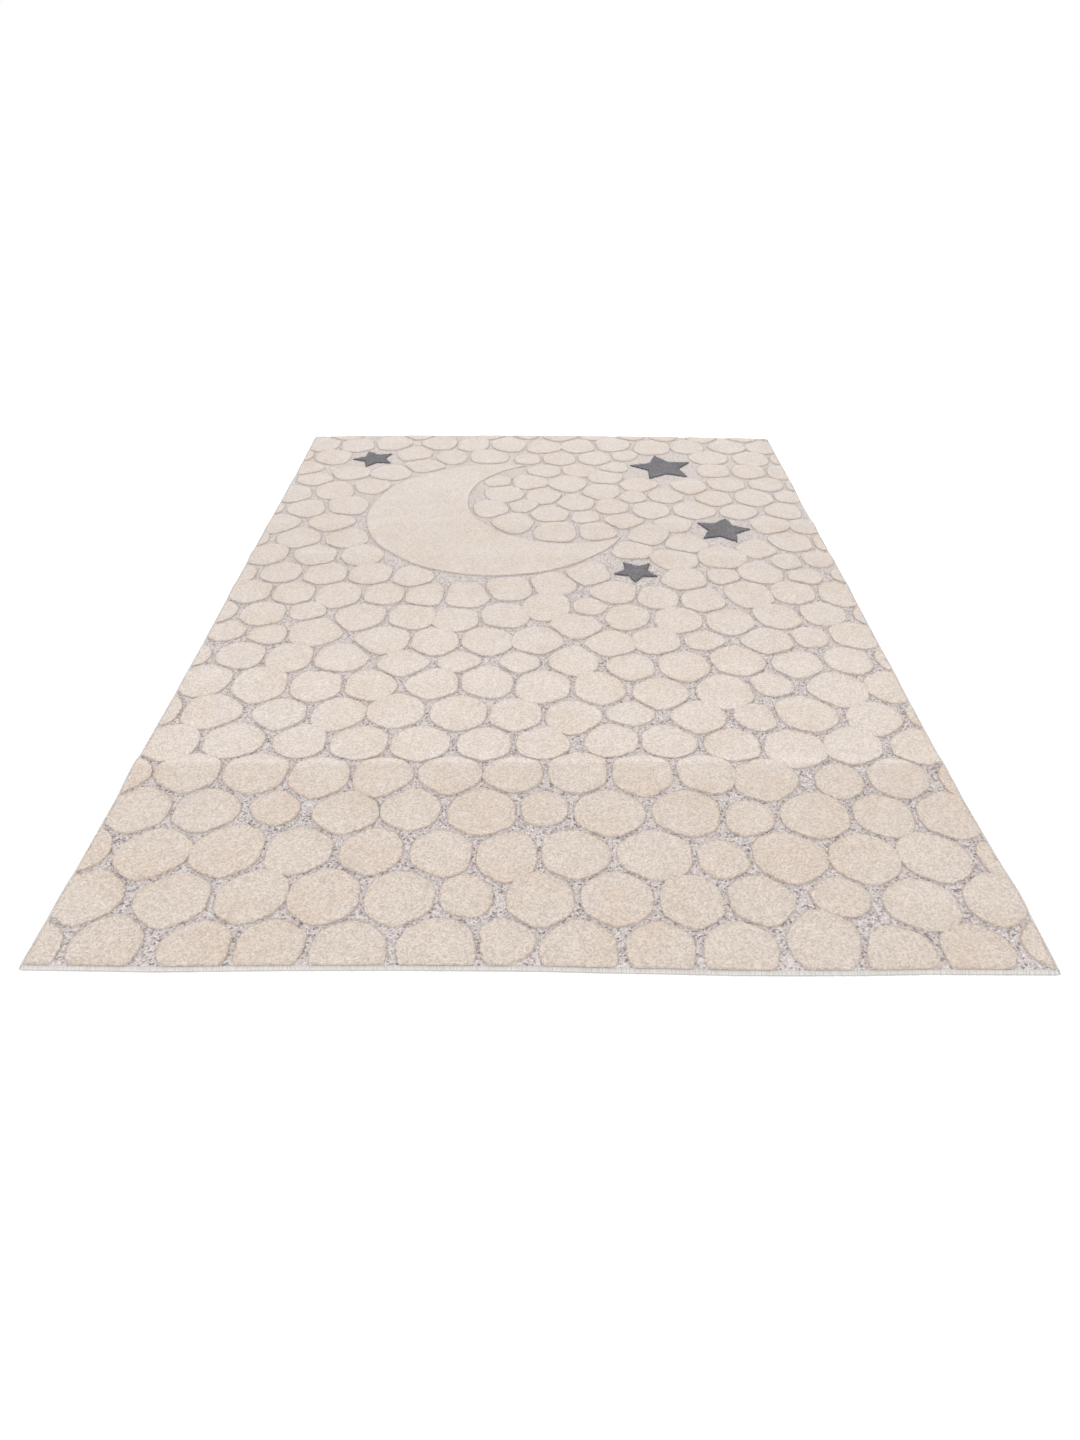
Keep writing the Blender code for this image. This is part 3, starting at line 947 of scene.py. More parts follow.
def placed(name: str, data: bpy.types.ID) -> bpy.types.Object:
    """Puts a new object in the scene.

    Args:
        name: The object's name.
        data: Its mesh, light or camera.

    Returns:
        The object.
    """
    made = bpy.data.objects.new(name, data)
    bpy.context.scene.collection.objects.link(made)
    return made


def new_piece(
    name: str, mesh: bpy.types.Mesh, materials: Sequence[bpy.types.Material]
) -> bpy.types.Object:
    """Puts a finished mesh in the scene as a piece that rides with the rug.

    Args:
        name: The piece's name.
        mesh: Its mesh.
        materials: Its finishes.

    Returns:
        The piece.
    """
    made = placed(name, mesh)
    mesh.materials.clear()
    for material in materials:
        mesh.materials.append(material)
    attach(made, BODY)
    log.info("%s: %d faces", name, len(mesh.polygons))
    return made


def new_mesh(
    name: str,
    points: np.ndarray,
    edges: Sequence[Sequence[int]],
    faces: Sequence[Sequence[int]],
    **layers: np.ndarray,
) -> bpy.types.Mesh:
    """Makes a mesh.

    Args:
        name: The mesh's name.
        points: Places in space.
        edges: Pairs of indices into the points.
        faces: Indices into the points, anticlockwise from outside.
        layers: A number or a vector for each point, under the attribute's name.

    Returns:
        The mesh.
    """
    made = bpy.data.meshes.new(name)
    made.from_pydata(points.tolist(), edges, faces)
    for label, values in layers.items():
        kind, part = ("FLOAT_VECTOR", "vector") if values.ndim > 1 else ("FLOAT", "value")
        layer = made.attributes.new(label, kind, "POINT")
        layer.data.foreach_set(part, values.astype(np.float32).ravel())
    return made


def ring_faces(rings: int, steps: int) -> list[tuple[int, ...]]:
    """Faces between rings of points, each ring inside or above the one before.

    Args:
        rings: How many rings.
        steps: Points on each ring.

    Returns:
        Four-sided faces.
    """
    made = []
    for ring in range(rings - 1):
        low, high = ring * steps, (ring + 1) * steps
        for step in range(steps):
            after = (step + 1) % steps
            made.append((low + step, low + after, high + after, high + step))
    return made


@dataclass
class Patch:
    """Points and faces that are gathered into one mesh, with how far up the pile each point is."""

    points: list[np.ndarray] = field(default_factory=list)
    faces: list[tuple[int, ...]] = field(default_factory=list)
    rise: list[np.ndarray] = field(default_factory=list)
    size: int = 0

    def add(self, points: np.ndarray, faces: Sequence[Sequence[int]], rise: np.ndarray) -> None:
        """Adds points and the faces among them.

        Args:
            points: Places in space.
            faces: Indices into these points, anticlockwise from outside.
            rise: 0 at the tufts' roots and 1 at their tips, for each point.
        """
        self.faces.extend(tuple(self.size + corner for corner in face) for face in faces)
        self.points.append(points)
        self.rise.append(rise)
        self.size += len(points)

    def mesh(self, name: str) -> bpy.types.Mesh:
        """Makes the mesh.

        Args:
            name: The mesh's name.

        Returns:
            The mesh, shaded smooth, with a rise attribute on its points.
        """
        points, rise = np.concatenate(self.points), np.concatenate(self.rise)
        made = new_mesh(name, points, [], self.faces, rise=rise)
        made.shade_smooth()
        return made


class GeometryTree(NodeKit):
    """A Geometry Nodes tree with named inputs, and the mesh that it makes of a source.

    The source's points say in their lean attribute which way what grows on them faces.
    """

    def __init__(self, name: str, inputs: dict[str, str]) -> None:
        """Starts the tree.

        Args:
            name: The tree's name.
            inputs: The kind of each named input besides Geometry, Seed and Material.
        """
        super().__init__(bpy.data.node_groups.new(name, "GeometryNodeTree"))
        every = {"Geometry": "Geometry", **inputs, "Seed": "Int", "Material": "Material"}
        for label, kind in every.items():
            self.tree.interface.new_socket(label, in_out="INPUT", socket_type=f"NodeSocket{kind}")
        self.tree.interface.new_socket("Geometry", in_out="OUTPUT", socket_type="NodeSocketGeometry")
        self.entry = self.tree.nodes.new("NodeGroupInput")

    def given(self, label: str) -> Term:
        """A named input as a term."""
        return Term(self, self.entry.outputs[label])

    def along_lines(self) -> Term:
        """Points along the source's lines, one pitch apart."""
        line = self.term("GeometryNodeMeshToCurve", {"Mesh": self.given("Geometry")})
        return self.term(
            "GeometryNodeResampleCurve", {"Curve": line, "Length": self.given("Pitch")}, mode="LENGTH")

    def drawn(self, low: Sequence[float], high: Sequence[float]) -> Term:
        """A vector drawn for each point, between two corners of a box."""
        values = {0: low, 1: high, "Seed": self.given("Seed")}
        return self.term("FunctionNodeRandomValue", values, data_type="FLOAT_VECTOR")

    def on_points(
        self, points: Term, shape: Term, stray: Sequence[float], size: Term, **facing: str
    ) -> Term:
        """Puts a shape on every point, turned the way that the point leans.

        Args:
            points: The points.
            shape: The shape.
            stray: How far each leans its own way, along the three axes.
            size: The scale of each.
            facing: The shape's axis that is turned, and the axis that it turns about.

        Returns:
            The instances.
        """
        lean = self.term("GeometryNodeInputNamedAttribute", {"Name": "lean"}, data_type="FLOAT_VECTOR")
        own = self.drawn([-far for far in stray], stray)
        way = self.term("ShaderNodeVectorMath", {0: lean, 1: own}, operation="ADD")
        turn = self.term("FunctionNodeAlignRotationToVector", {"Vector": way}, **facing)
        values = {"Points": points, "Instance": shape, "Rotation": turn, "Scale": size}
        return self.term("GeometryNodeInstanceOnPoints", values)

    def end(self, geometry: Term) -> None:
        """Ends the tree in plain geometry with the material that is given.

        Args:
            geometry: What the tree makes.
        """
        plain = self.term("GeometryNodeRealizeInstances", {"Geometry": geometry})
        values = {"Geometry": plain, "Material": self.given("Material")}
        dressed = self.term("GeometryNodeSetMaterial", values)
        self.tree.links.new(dressed.socket, self.tree.nodes.new("NodeGroupOutput").inputs[0])

    def grow(self, source: bpy.types.Mesh, values: dict[str, object]) -> bpy.types.Mesh:
        """Runs the tree on a source mesh.

        Args:
            source: The points or lines that it grows on.
            values: A value for each named input.

        Returns:
            What it makes, as a plain mesh.
        """
        holder = placed(source.name, source)
        modifier = holder.modifiers.new(self.tree.name, "NODES")
        modifier.node_group = self.tree
        for item in self.tree.interface.items_tree:
            if item.in_out == "INPUT" and item.name in values:
                modifier[item.identifier] = values[item.name]
        graph = bpy.context.evaluated_depsgraph_get()
        made = bpy.data.meshes.new_from_object(holder.evaluated_get(graph))
        bpy.data.objects.remove(holder)
        return made


# Sub-assemblies


@dataclass
class WovenSheet:
    """The rug's ground and backing: one closed sheet on its folds, its edge tapered for the yarn."""

    plan: RugPlan
    columns: int = 72
    rows: int = 192
    taper_reach: float = 0.0045

    def build(self, ground: bpy.types.Material, backing: bpy.types.Material) -> bpy.types.Object:
        """Makes the sheet and dresses it.

        Args:
            ground: The finish of its upper side.
            backing: The finish of its underside.

        Returns:
            The piece.
        """
        grid = self._grid()
        top, under = (self.plan.on_folds(grid, height) for height in (PileHeight.LOOPS.value, 0.0))
        count, wide = len(grid), self.columns + 1
        starts = [row * wide + column for row in range(self.rows) for column in range(self.columns)]
        upper = [(start, start + 1, start + 1 + wide, start + wide) for start in starts]
        faces = upper + [tuple(count + corner for corner in face[::-1]) for face in upper]
        ring = self._ring(wide)
        total = len(ring)
        out = self._outward(grid[ring]) * self.taper_reach
        edges = [
            np.column_stack([grid[ring] + out, under[ring, 2] + height.value])
            for height in (PileHeight.TAPER_TOP, PileHeight.TAPER_BOTTOM)
        ]
        first = 2 * count + np.arange(total)
        loops = [ring, first, first + total, count + ring]
        for above, below in zip(loops, loops[1:]):
            for step in range(total):
                after = (step + 1) % total
                faces.append((above[step], below[step], below[after], above[after]))
        patch = Patch()
        patch.add(np.concatenate([top, under, *edges]), faces, np.zeros(2 * (count + total)))
        mesh = patch.mesh("woven_sheet")
        piece = new_piece("woven_sheet", mesh, (ground, backing))
        index = np.zeros(len(mesh.polygons), np.int32)
        index[len(upper):2 * len(upper)] = 1
        mesh.polygons.foreach_set("material_index", index)
        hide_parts("rug_body")
        return piece

    def _grid(self) -> np.ndarray:
        """Spreads the sheet's points evenly between its four uneven edges.

        Returns:
            The points in rows from the front edge, each row from left to right.
        """
        u, v = np.meshgrid(np.linspace(0, 1, self.columns + 1), np.linspace(0, 1, self.rows + 1))
        share = np.stack([u, v], axis=-1).reshape(-1, 2)
        first, last = self.plan.sides["front"][0], self.plan.sides["back"][0]
        low, high = self.plan.reach(first + share * (last - first), 0.0)
        return low + share * (high - low)

    def _ring(self, wide: int) -> np.ndarray:
        """Finds the border's points in the grid.

        Args:
            wide: Points in one row of the grid.

        Returns:
            Their indices, anticlockwise.
        """
        across, along = np.arange(self.columns), np.arange(self.rows)
        right = along * wide + self.columns
        back = self.rows * wide + self.columns - across
        left = (self.rows - along) * wide
        return np.concatenate([across, right, back, left])

    @staticmethod
    def _outward(ring: np.ndarray) -> np.ndarray:
        """The way out of a closed ring, long enough to move both sides of a point by one.

        Args:
            ring: The ring's points, anticlockwise.

        Returns:
            A vector for each point.
        """
        before = ways_out(ring - np.roll(ring, 1, axis=0))
        after = ways_out(np.roll(ring, -1, axis=0) - ring)
        return (before + after) / (1 + (before * after).sum(axis=1))[:, None]


@dataclass
class HighPile:
    """The raised pads of cut pile: their rounded shoulders, crowns and ragged rims."""

    plan: RugPlan
    crown: float = 0.0012
    ragged_across: float = 0.00115
    ragged_up: float = 0.00030
    # Inset from the outline, height above the ground and rise from root to tip
    shoulder: tuple[tuple[float, float, float], ...] = (
        (0.0000, -0.0006, 0.00),
        (-0.0003, 0.0016, 0.15),
        (-0.0002, 0.0034, 0.70),
        (0.0005, 0.0048, 0.95),
        (0.0020, 0.0055, 1.00),
    )
    rough_from_rise: float = 0.5
    inner_shares: tuple[float, ...] = (0.74, 0.48, 0.24)
    least_share: float = 0.1
    motif_raggedness: float = 0.6
    moon_steps: int = 190
    moon_grid: float = 0.014
    moon_shake: float = 0.2
    moon_margin: float = 0.6
    crown_reach: float = 0.030
    star_steps: int = 14
    star_core: float = 0.16
    star_core_steps: int = 5
    tuft_seat: float = 0.0036
    tuft_inset: float = 0.0009
    tuft_lean_up: float = 1.1
    seed: int = 21

    def __post_init__(self) -> None:
        """Starts the random draws."""
        self.rng = np.random.RandomState(self.seed)

    def _raised(self, plan: np.ndarray, height: np.ndarray | float) -> np.ndarray:
        """Points at a height above the ground, on the sheet's folds."""
        return self.plan.on_folds(plan, PileHeight.GROUND.value + height)

    def _uneven(self, height: float, rise: float, count: int) -> np.ndarray:
        """Heights of a ring's points, uneven where the ring is up among the tips."""
        return height + self.rng.normal(0, self.ragged_up, count) * (rise > self.rough_from_rise)

    def pebble_patch(self, pebbles: Sequence[Pebble]) -> Patch:
        """Builds pads for pebbles.

        Args:
            pebbles: The pebbles, all with as many points.

        Returns:
            The pads' points and faces.
        """
        patch = Patch()
        for pebble in pebbles:
            away = pebble.rim - pebble.middle
            far = np.linalg.norm(away, axis=1)[:, None]
            steps = len(away)
            rings, rises = [], []
            ragged = self.rng.normal(0, self.ragged_across, (steps, 1))
            for inset, height, rise in self.shoulder:
                share = np.clip(1 - (inset + ragged * rise) / far, self.least_share, None)
                up = self._uneven(height, rise, steps)
                rings.append(self._raised(pebble.middle + away * share, up))
                rises.append(np.full(steps, rise))
            top_inset, top_height, _ = self.shoulder[-1]
            flat = np.clip(1 - top_inset / far, self.least_share, None)
            for share in self.inner_shares:
                crown = top_height + self.crown * (1 - share * share)
                rings.append(self._raised(pebble.middle + away * flat * share, crown))
                rises.append(np.ones(steps))
            tip = len(rings) * steps
            faces = ring_faces(len(rings), steps)
            last = tip - steps
            faces += [(last + step, last + (step + 1) % steps, tip) for step in range(steps)]
            rings.append(self._raised(pebble.middle[None], top_height + self.crown))
            rises.append(np.ones(1))
            patch.add(np.concatenate(rings), faces, np.concatenate(rises))
        return patch

    def motif_outline(self, motif: Motif, inset: float = 0.0) -> np.ndarray:
        """A motif's outline moved inward, with the steps that its kind has here."""
        steps = self.moon_steps if isinstance(motif, CrescentMoon) else self.star_steps
        return motif.outline(inset, steps)

    def motif_patch(self, motif: Motif) -> Patch:
        """Builds a pad for the moon or a star.

        Args:
            motif: The motif.

        Returns:
            The pad's points and faces.
        """
        rings, rises = [], []
        count = len(self.motif_outline(motif))
        ragged = self.rng.normal(0, self.ragged_across, (count, 2))
        for inset, height, rise in self.shoulder:
            plan = self.motif_outline(motif, inset) + ragged * rise * self.motif_raggedness
            rings.append(self._raised(plan, self._uneven(height, rise, count)))
            rises.append(np.full(count, rise))
        patch = Patch()
        patch.add(np.concatenate(rings), ring_faces(len(rings), count), np.concatenate(rises))
        top_inset, top_height, _ = self.shoulder[-1]
        moon = isinstance(motif, CrescentMoon)
        core = (motif.radius * self.star_core, self.star_core_steps)
        loose = self._moon_inside(motif) if moon else motif.outline(*core)
        plan, _, faces, sources, _, _ = delaunay_2d_cdt(
            [Vector(point) for point in (*rings[-1][:, :2], *loose)], [], [list(range(count))], 1, 1e-6
        )
        plan = np.array([tuple(point) for point in plan])
        if moon:
            deep = np.clip(-motif.outside(plan)[0] - top_inset, 0, None)
            crown = self.crown * (1 - np.exp(-deep / self.crown_reach))
        else:
            near = np.linalg.norm(plan - np.array(motif.centre), axis=1) / motif.radius
            crown = self.crown * np.clip(1 - near, 0, 1)
        places = self._raised(plan, top_height + crown)
        for index, found in enumerate(sources):
            on_edge = [source for source in found if source < count]
            if on_edge:
                places[index] = rings[-1][on_edge[0]]
        patch.add(places, faces, np.ones(len(places)))
        return patch

    def _moon_inside(self, moon: CrescentMoon) -> np.ndarray:
        """Spreads points inside the crescent.

        Args:
            moon: The crescent.

        Returns:
            The points, slightly shaken.
        """
        steps = np.arange(-moon.radius, moon.radius, self.moon_grid)
        grid = np.array([(moon.centre[0] + x, moon.centre[1] + y) for x in steps for y in steps])
        shake = self.rng.uniform(-self.moon_shake, self.moon_shake, grid.shape)
        grid = grid + shake * self.moon_grid
        return grid[moon.outside(grid)[0] < -self.moon_margin * self.moon_grid]

    def rim_lines(self, outlines: Sequence[np.ndarray], name: str) -> bpy.types.Mesh:
        """Makes closed lines along the pads' rims, for tufts to grow on.

        Args:
            outlines: The pads' outlines, anticlockwise.
            name: The mesh's name.

        Returns:
            A mesh of lines.
        """
        points, edges, leans = [], [], []
        size = 0
        for outline in outlines:
            count = len(outline)
            out = ways_out(np.roll(outline, -1, axis=0) - np.roll(outline, 1, axis=0))
            points.append(self._raised(outline - out * self.tuft_inset, self.tuft_seat))
            leans.append(np.column_stack([out, np.full(count, self.tuft_lean_up)]))
            edges += [(size + step, size + (step + 1) % count) for step in range(count)]
            size += count
        return new_mesh(name, np.concatenate(points), edges, [], lean=np.concatenate(leans))


@dataclass
class Tufts:
    """Single tufts along the pads' rims, leaning outward, and loops that stand in the ground."""

    rim_pitch: float = 0.0028
    tuft_height: float = 0.0040
    tuft_width: float = 0.0011
    tuft_stray: float = 0.60
    loop_pitch: float = 0.0052
    loop_shake: float = 0.35
    loop_height: float = 0.0016
    loop_width: float = 0.0019
    loop_stray: float = 0.30
    loop_seat: float = 0.3
    border_margin: float = 0.002
    star_steps: int = 12
    sides: int = 4
    sizes: tuple[float, float] = (0.65, 1.25)
    seed: int = 5

    def tree(self, name: str, on_lines: bool) -> GeometryTree:
        """Stands a pointed tuft on every point, each turned and sized a little differently.

        Args:
            name: The tree's name.
            on_lines: True for tufts along lines, False for loops on single points.

        Returns:
            The tree.
        """
        made = GeometryTree(name, {"Pitch": "Float", "Height": "Float", "Width": "Float"})
        cone = made.term("GeometryNodeMeshCone", {
            "Vertices": self.sides, "Radius Top": 0.0, "Radius Bottom": made.given("Width"),
            "Depth": made.given("Height")}, "Mesh", fill_type="NONE")
        low, high = self.sizes
        size = made.term("FunctionNodeRandomValue", {
            2: low, 3: high, "Seed": made.given("Seed")}, 1, data_type="FLOAT")
        dots = {"Mesh": made.given("Geometry")}
        points = made.along_lines() if on_lines else made.term("GeometryNodeMeshToPoints", dots)
        stray = self.tuft_stray if on_lines else self.loop_stray
        stood = made.on_points(points, cone, (stray,) * 3, size, axis=Axis.UP.value)
        risen = made.term("GeometryNodeRealizeInstances", {"Geometry": stood})
        marked = {"Geometry": risen, "Name": "rise", "Value": 1.0}
        made.end(made.term("GeometryNodeStoreNamedAttribute", marked, data_type="FLOAT", domain="POINT"))
        return made

    def on_rims(
        self, name: str, lines: bpy.types.Mesh, material: bpy.types.Material, tree: GeometryTree
    ) -> bpy.types.Object:
        """Grows the tufts of some rims as one piece.

        Args:
            name: The piece's name.
            lines: The rims.
            material: The tufts' finish.
            tree: The tree that grows them.

        Returns:
            The piece.
        """
        made = tree.grow(lines, {
            "Pitch": self.rim_pitch, "Height": self.tuft_height, "Width": self.tuft_width,
            "Seed": self.seed, "Material": material})
        return new_piece(name, made, (material,))

    def in_ground(
        self,
        plan: RugPlan,
        pebbles: Sequence[Pebble],
        motifs: Sequence[Motif],
        material: bpy.types.Material,
    ) -> bpy.types.Object:
        """Grows the loops that stand between the pads.

        Args:
            plan: The rug's plan.
            pebbles: The pebbles, where no loop stands.
            motifs: The motifs, where no loop stands.
            material: The loops' finish.

        Returns:
            The piece.
        """
        rng = np.random.RandomState(self.seed)
        x, y = (np.arange(-size / 2, size / 2, self.loop_pitch) for size in FLAT_SIZE)
        grid = np.stack(np.meshgrid(x, y), axis=-1).reshape(-1, 2)
        grid = grid + rng.uniform(-self.loop_shake, self.loop_shake, grid.shape) * self.loop_pitch
        low, high = plan.reach(grid, self.border_margin)
        free = np.all((grid > low) & (grid < high), axis=1)
        outlines = [(pebble.middle, pebble.rim) for pebble in pebbles]
        for motif in motifs:
            if isinstance(motif, CrescentMoon):
                free &= motif.outside(grid)[0] > 0
            else:
                outlines.append((np.array(motif.centre), motif.outline(0.0, self.star_steps)))
        for middle, rim in outlines:
            free &= ~self._within(grid, middle, rim)
        spots = plan.on_folds(grid[free], PileHeight.LOOPS.value + self.loop_seat * self.loop_height)
        upright = np.tile([0.0, 0.0, 1.0], (len(spots), 1))
        source = new_mesh("loop_spots", spots, [], [], lean=upright)
        made = self.tree("ground_loops", on_lines=False).grow(source, {
            "Height": self.loop_height, "Width": self.loop_width, "Seed": self.seed,
            "Material": material})
        return new_piece("ground_loops", made, (material,))

    @staticmethod
    def _within(points: np.ndarray, middle: np.ndarray, rim: np.ndarray) -> np.ndarray:
        """Which points lie inside an outline that every ray from its middle meets once.

        Args:
            points: Places of the plan.
            middle: A point inside the outline.
            rim: The outline.

        Returns:
            True for each point inside.
        """
        away = rim - middle
        angles = np.arctan2(away[:, 1], away[:, 0])
        order = np.argsort(angles)
        far = np.linalg.norm(away, axis=1)[order]
        to_points = points - middle
        distance = np.linalg.norm(to_points, axis=1)
        near = distance < far.max()
        inside = np.zeros(len(points), bool)
        heading = np.arctan2(to_points[near, 1], to_points[near, 0])
        limit = np.interp(heading, angles[order], far, period=2 * math.pi)
        inside[near] = distance[near] < limit
        return inside


@dataclass
class OvercastEdge:
    """Yarn laid stitch by stitch over the rug's edges, two rolls with a dip between them, painted shade
    in the dip.
    """

    plan: RugPlan
    pitch: float = 0.0024
    yarn_half_width: float = 0.00135
    yarn_thickness: float = 0.00055
    slant: float = 0.0011
    tube_sides: int = 4
    stray: tuple[float, float, float] = (0.07, 0.07, 0.0)
    least_size: tuple[float, float, float] = (0.97, 0.85, 0.97)
    largest_size: tuple[float, float, float] = (1.03, 1.12, 1.03)
    # The stitch's route round the edge: outward from the pile's border, up, and how open it lies, which
    # sets the painted shade: low in the dip between the rolls and at the ends
    route: tuple[tuple[float, float, float], ...] = (
        (0.0001, 0.0070, 0.2),
        (0.0012, 0.0088, 1.0),
        (0.0036, 0.0091, 1.0),
        (0.0060, 0.0079, 1.0),
        (0.0071, 0.0063, 0.9),
        (0.0066, 0.0050, 0.1),
        (0.0074, 0.0036, 0.9),
        (0.0066, 0.0014, 0.9),
        (0.0045, 0.0002, 0.2),
    )

    def stitch(self) -> bpy.types.Object:
        """Makes one stitch for the tree to repeat.

        Returns:
            The stitch, its outward side along X.
        """
        route = np.array(self.route)[:, :2]
        normal = -ways_out(np.gradient(route, axis=0))
        share = np.linspace(-0.5, 0.5, len(route))
        rings = []
        for place, way, part in zip(route, normal, share):
            for side in range(self.tube_sides):
                angle = 2 * math.pi * (side + 0.5) / self.tube_sides
                off = place + way * math.sin(angle) * self.yarn_thickness
                aside = math.cos(angle) * self.yarn_half_width + part * self.slant
                rings.append((off[0], aside, off[1]))
        faces = [face[::-1] for face in ring_faces(len(route), self.tube_sides)]
        # The route's third column, as the rise attribute that sets the yarn's painted shade
        rise = np.repeat([place[2] for place in self.route], self.tube_sides)
        return placed("stitch", new_mesh("stitch", np.array(rings), [], faces, rise=rise))

    def tree(self) -> GeometryTree:
        """Repeats the stitch along a line, each turned to face out of the rug.

        Returns:
            The tree.
        """
        made = GeometryTree("overcast_stitches", {"Pitch": "Float", "Stitch": "Object"})
        stitch = {"Object": made.given("Stitch")}
        yarn = made.term("GeometryNodeObjectInfo", stitch, "Geometry")
        size = made.drawn(self.least_size, self.largest_size)
        made.end(made.on_points(
            made.along_lines(), yarn, self.stray, size,
            axis=Axis.ACROSS.value, pivot_axis=Axis.UP.value))
        return made

    def build(
        self, frame: dict, yarn: bpy.types.Material, core: bpy.types.Material
    ) -> list[bpy.types.Object]:
        """Lays the stitches over all four edges and dresses the yarn's core under them.

        Args:
            frame: The loaded frame.
            yarn: The stitches' finish.
            core: The finish of what shows between them, dressed darker as painted shade.

        Returns:
            The four pieces of stitches.
        """
        stitch, tree = self.stitch(), self.tree()
        made = []
        for number, (edge, run) in enumerate(self.plan.sides.items()):
            for place in frame["nodes"][f"binding_{edge}"].material_slots:
                place.material = core
            out = ways_out(np.gradient(run, axis=0))
            links = [(step, step + 1) for step in range(len(run) - 1)]
            leans = np.column_stack([out, np.zeros(len(out))])
            source = new_mesh(f"line_{edge}", self.plan.on_folds(run, 0.0), links, [], lean=leans)
            mesh = tree.grow(source, {
                "Pitch": self.pitch, "Seed": number, "Stitch": stitch, "Material": yarn})
            mesh.shade_smooth()
            made.append(new_piece(f"overcast_{edge}", mesh, (yarn,)))
        bpy.data.objects.remove(stitch)
        return made


# The studio


@dataclass(frozen=True)
class SoftLight:
    """A square light: its name, its place, what it points at, its side and its power."""

    name: str
    place: tuple[float, float, float]
    aim: tuple[float, float, float]
    side: float
    watts: float

    def build(self) -> None:
        """Hangs the light."""
        data = bpy.data.lights.new(self.name, "AREA")
        data.size = self.side
        data.energy = self.watts
        made = placed(self.name, data)
        made.location = self.place
        way = Vector(self.aim) - Vector(self.place)
        made.rotation_euler = way.to_track_quat("-Z", "Y").to_euler()


@dataclass
class Studio:
    """A white floor, soft light from above and behind, and the camera."""

    camera_place: tuple[float, float, float] = (-0.0046, -2.0263, 1.1538)
    pitch_deg: float = 37.079
    yaw_deg: float = 0.061
    roll_deg: float = 0.324
    lens_mm: float = 22.785
    sensor_mm: float = 36.0
    clip: tuple[float, float] = (0.05, 200.0)
    floor_half: float = 40.0
    floor_height: float = -0.0006
    floor_white: float = 0.90
    floor_glow: float = 0.45
    world_strength: float = 1.00
    lights: tuple[SoftLight, ...] = (
        SoftLight("key_behind", (0.5, 3.8, 3.9), (0.0, 0.0, 0.0), 3.2, 98.0),
        SoftLight("fill_front", (-0.8, -4.4, 1.9), (0.0, -0.3, 0.0), 3.0, 56.0),
    )

    def build(self) -> None:
        """Sets up floor, light and camera."""
        self._floor()
        for light in self.lights:
            light.build()
        self._world()
        self._camera()
        bpy.context.scene.view_settings.view_transform = "Standard"

    def _floor(self) -> None:
        """Lays a wide pale floor, just under the rug."""
        ends = (-self.floor_half, self.floor_half)
        corners = np.array([(x, y, self.floor_height) for y in ends for x in ends])
        mesh = new_mesh("studio_floor", corners, [], [(0, 1, 3, 2)])
        made = placed("studio_floor", mesh)
        mesh.materials.append(Fabric("studio_white").surface(
            BaseColor=grey(self.floor_white), EmissionColor=grey(1.0),
            EmissionStrength=self.floor_glow, Roughness=1.0, SpecularIORLevel=0.0))

    def _world(self) -> None:
        """Sets even white light from all round."""
        world = bpy.data.worlds.new("studio_world")
        world.use_nodes = True
        glow = world.node_tree.nodes["Background"]
        glow.inputs["Color"].default_value = grey(1.0)
        glow.inputs["Strength"].default_value = self.world_strength
        bpy.context.scene.world = world

    def _camera(self) -> None:
        """Sets up the camera from its place and its three angles."""
        pitch, yaw = math.radians(self.pitch_deg), math.radians(self.yaw_deg)
        roll = math.radians(self.roll_deg)
        forward = Vector((
            math.sin(yaw) * math.cos(pitch), math.cos(yaw) * math.cos(pitch), -math.sin(pitch)))
        level = Vector((math.cos(yaw), -math.sin(yaw), 0.0))
        above = level.cross(forward)
        right = math.cos(roll) * level + math.sin(roll) * above
        up = -math.sin(roll) * level + math.cos(roll) * above
        data = bpy.data.cameras.new("camera")
        data.sensor_width = self.sensor_mm
        data.lens = self.lens_mm
        data.clip_start, data.clip_end = self.clip
        made = placed("camera", data)
        turned = Matrix((right, up, -forward)).transposed().to_4x4()
        turned.translation = Vector(self.camera_place)
        made.matrix_world = turned
        bpy.context.scene.camera = made


# The rug


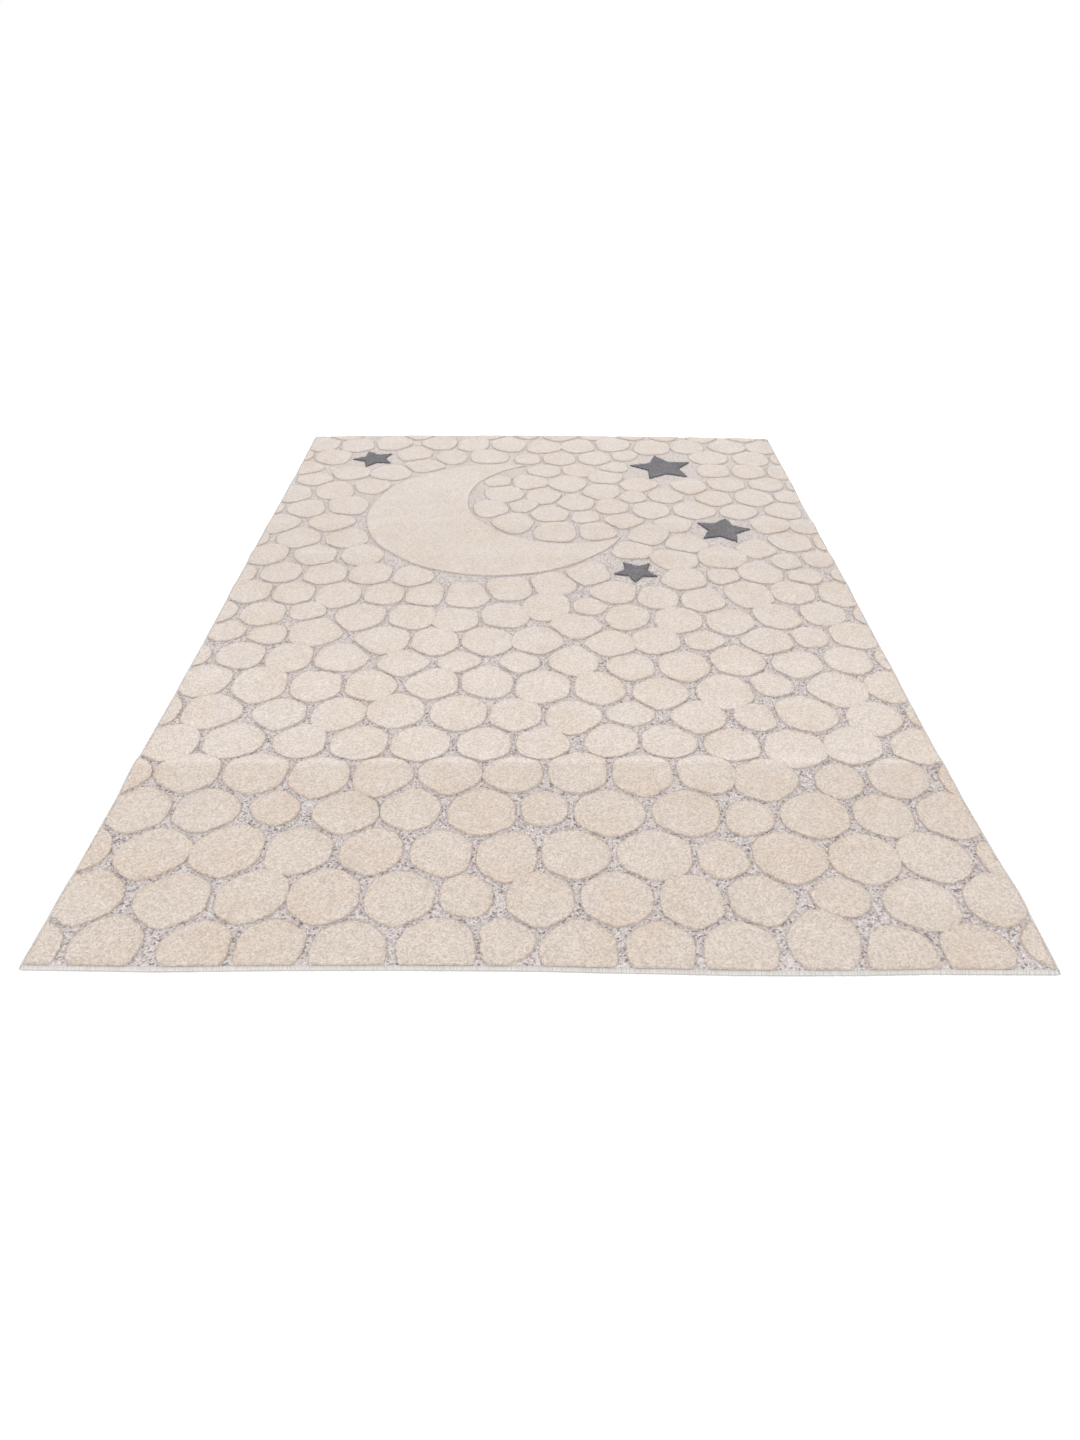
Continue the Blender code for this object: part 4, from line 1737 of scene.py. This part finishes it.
@dataclass
class KidsRug:
    """The whole rug, put together from its sheet, pile, tufts and overcast edges."""

    frame: dict
    plan: RugPlan = field(default_factory=RugPlan)
    moon: CrescentMoon = field(default_factory=CrescentMoon)
    stars: tuple[Star, ...] = (
        Star((0.395, 0.865), 0.105, 8.0),
        Star((0.520, 0.395), 0.080, -14.0),
        Star((-0.560, 0.930), 0.070, 22.0),
        Star((0.250, 0.140), 0.060, 30.0),
    )
    cream: CutPile = CutPile(
        "cream_pile", (0.738, 0.650, 0.586, 1.0), (0.726, 0.618, 0.534, 1.0),
        (0.780, 0.712, 0.655, 1.0), (0.760, 0.665, 0.605, 1.0))
    charcoal: CutPile = CutPile(
        "charcoal_pile", (0.130, 0.122, 0.132, 1.0), (0.095, 0.090, 0.098, 1.0),
        (0.230, 0.218, 0.228, 1.0), (0.060, 0.055, 0.060, 1.0),
        tuft_contrast=0.40, grain_contrast=0.50)
    # The core has no rise attribute, so its finish shows only the darker colour painted where the rise is
    # low: painted shade where the core shows between the stitches
    core: OvercastYarn = OvercastYarn("yarn_core", (0.470, 0.445, 0.425, 1.0))
    # Share of the length, and how bright and how cool the pile is painted there: painted light and shade
    # for the lean of the pile and the folds, with a painted highlight on the big fold's crest
    painted_tones: tuple[tuple[float, float, float], ...] = (
        (0.000, 0.900, 0.975),
        (0.120, 0.920, 0.980),
        (0.195, 0.905, 0.975),
        (0.209, 0.895, 0.975),
        (0.2145, 1.030, 1.005),
        (0.228, 0.975, 0.998),
        (0.350, 0.970, 0.998),
        (0.500, 0.940, 1.000),
        (0.530, 0.905, 0.990),
        (0.545, 0.935, 1.005),
        (0.585, 0.900, 0.992),
        (0.604, 0.930, 1.008),
        (0.672, 0.895, 0.995),
        (0.690, 0.920, 1.010),
        (1.000, 0.915, 1.015),
    )

    def build(self) -> None:
        """Builds every piece and dresses it."""
        motifs = (self.moon, *self.stars)
        cream, charcoal = self.cream.material(self.painted_tones), self.charcoal.material(self.painted_tones)
        ground = LoopGround().material()
        pebbles = PebbleField().pebbles(motifs, self.plan)
        near = [pebble for pebble in pebbles if pebble.middle[1] < 0]
        far = [pebble for pebble in pebbles if pebble.middle[1] >= 0]
        sheet = WovenSheet(self.plan).build(ground, WovenBacking().material())
        pile, tufts = HighPile(self.plan), Tufts()
        pads = {"pebbles_front": (pile.pebble_patch(near), cream),
                "pebbles_back": (pile.pebble_patch(far), cream),
                "moon": (pile.motif_patch(self.moon), cream)}
        for number, star in enumerate(self.stars, 1):
            pads[f"star_{number}"] = (pile.motif_patch(star), charcoal)
        pieces = [
            new_piece(name, patch.mesh(name), (finish,))
            for name, (patch, finish) in pads.items()
        ]
        rims = {"tufts_front": ([pebble.rim for pebble in near], cream),
                "tufts_back": ([pebble.rim for pebble in far], cream),
                "tufts_moon": ([pile.motif_outline(self.moon)], cream),
                "tufts_stars": ([pile.motif_outline(star) for star in self.stars], charcoal)}
        tree = tufts.tree("rim_tufts", on_lines=True)
        for name, (outlines, finish) in rims.items():
            lines = pile.rim_lines(outlines, f"{name}_lines")
            pieces.append(tufts.on_rims(name, lines, finish, tree))
        pieces.append(tufts.in_ground(self.plan, pebbles, motifs, ground))
        yarn, core = OvercastYarn("overcast_yarn").material(), self.core.material()
        pieces += OvercastEdge(self.plan).build(self.frame, yarn, core)
        bindings = [f"binding_{edge}" for edge in self.plan.sides]


def main() -> None:
    """Builds the scene round the frame."""
    logging.basicConfig(level=logging.INFO, format="%(name)s: %(message)s")
    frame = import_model()
    KidsRug(frame).build()
    Studio().build()


if __name__ == "__main__":
    main()
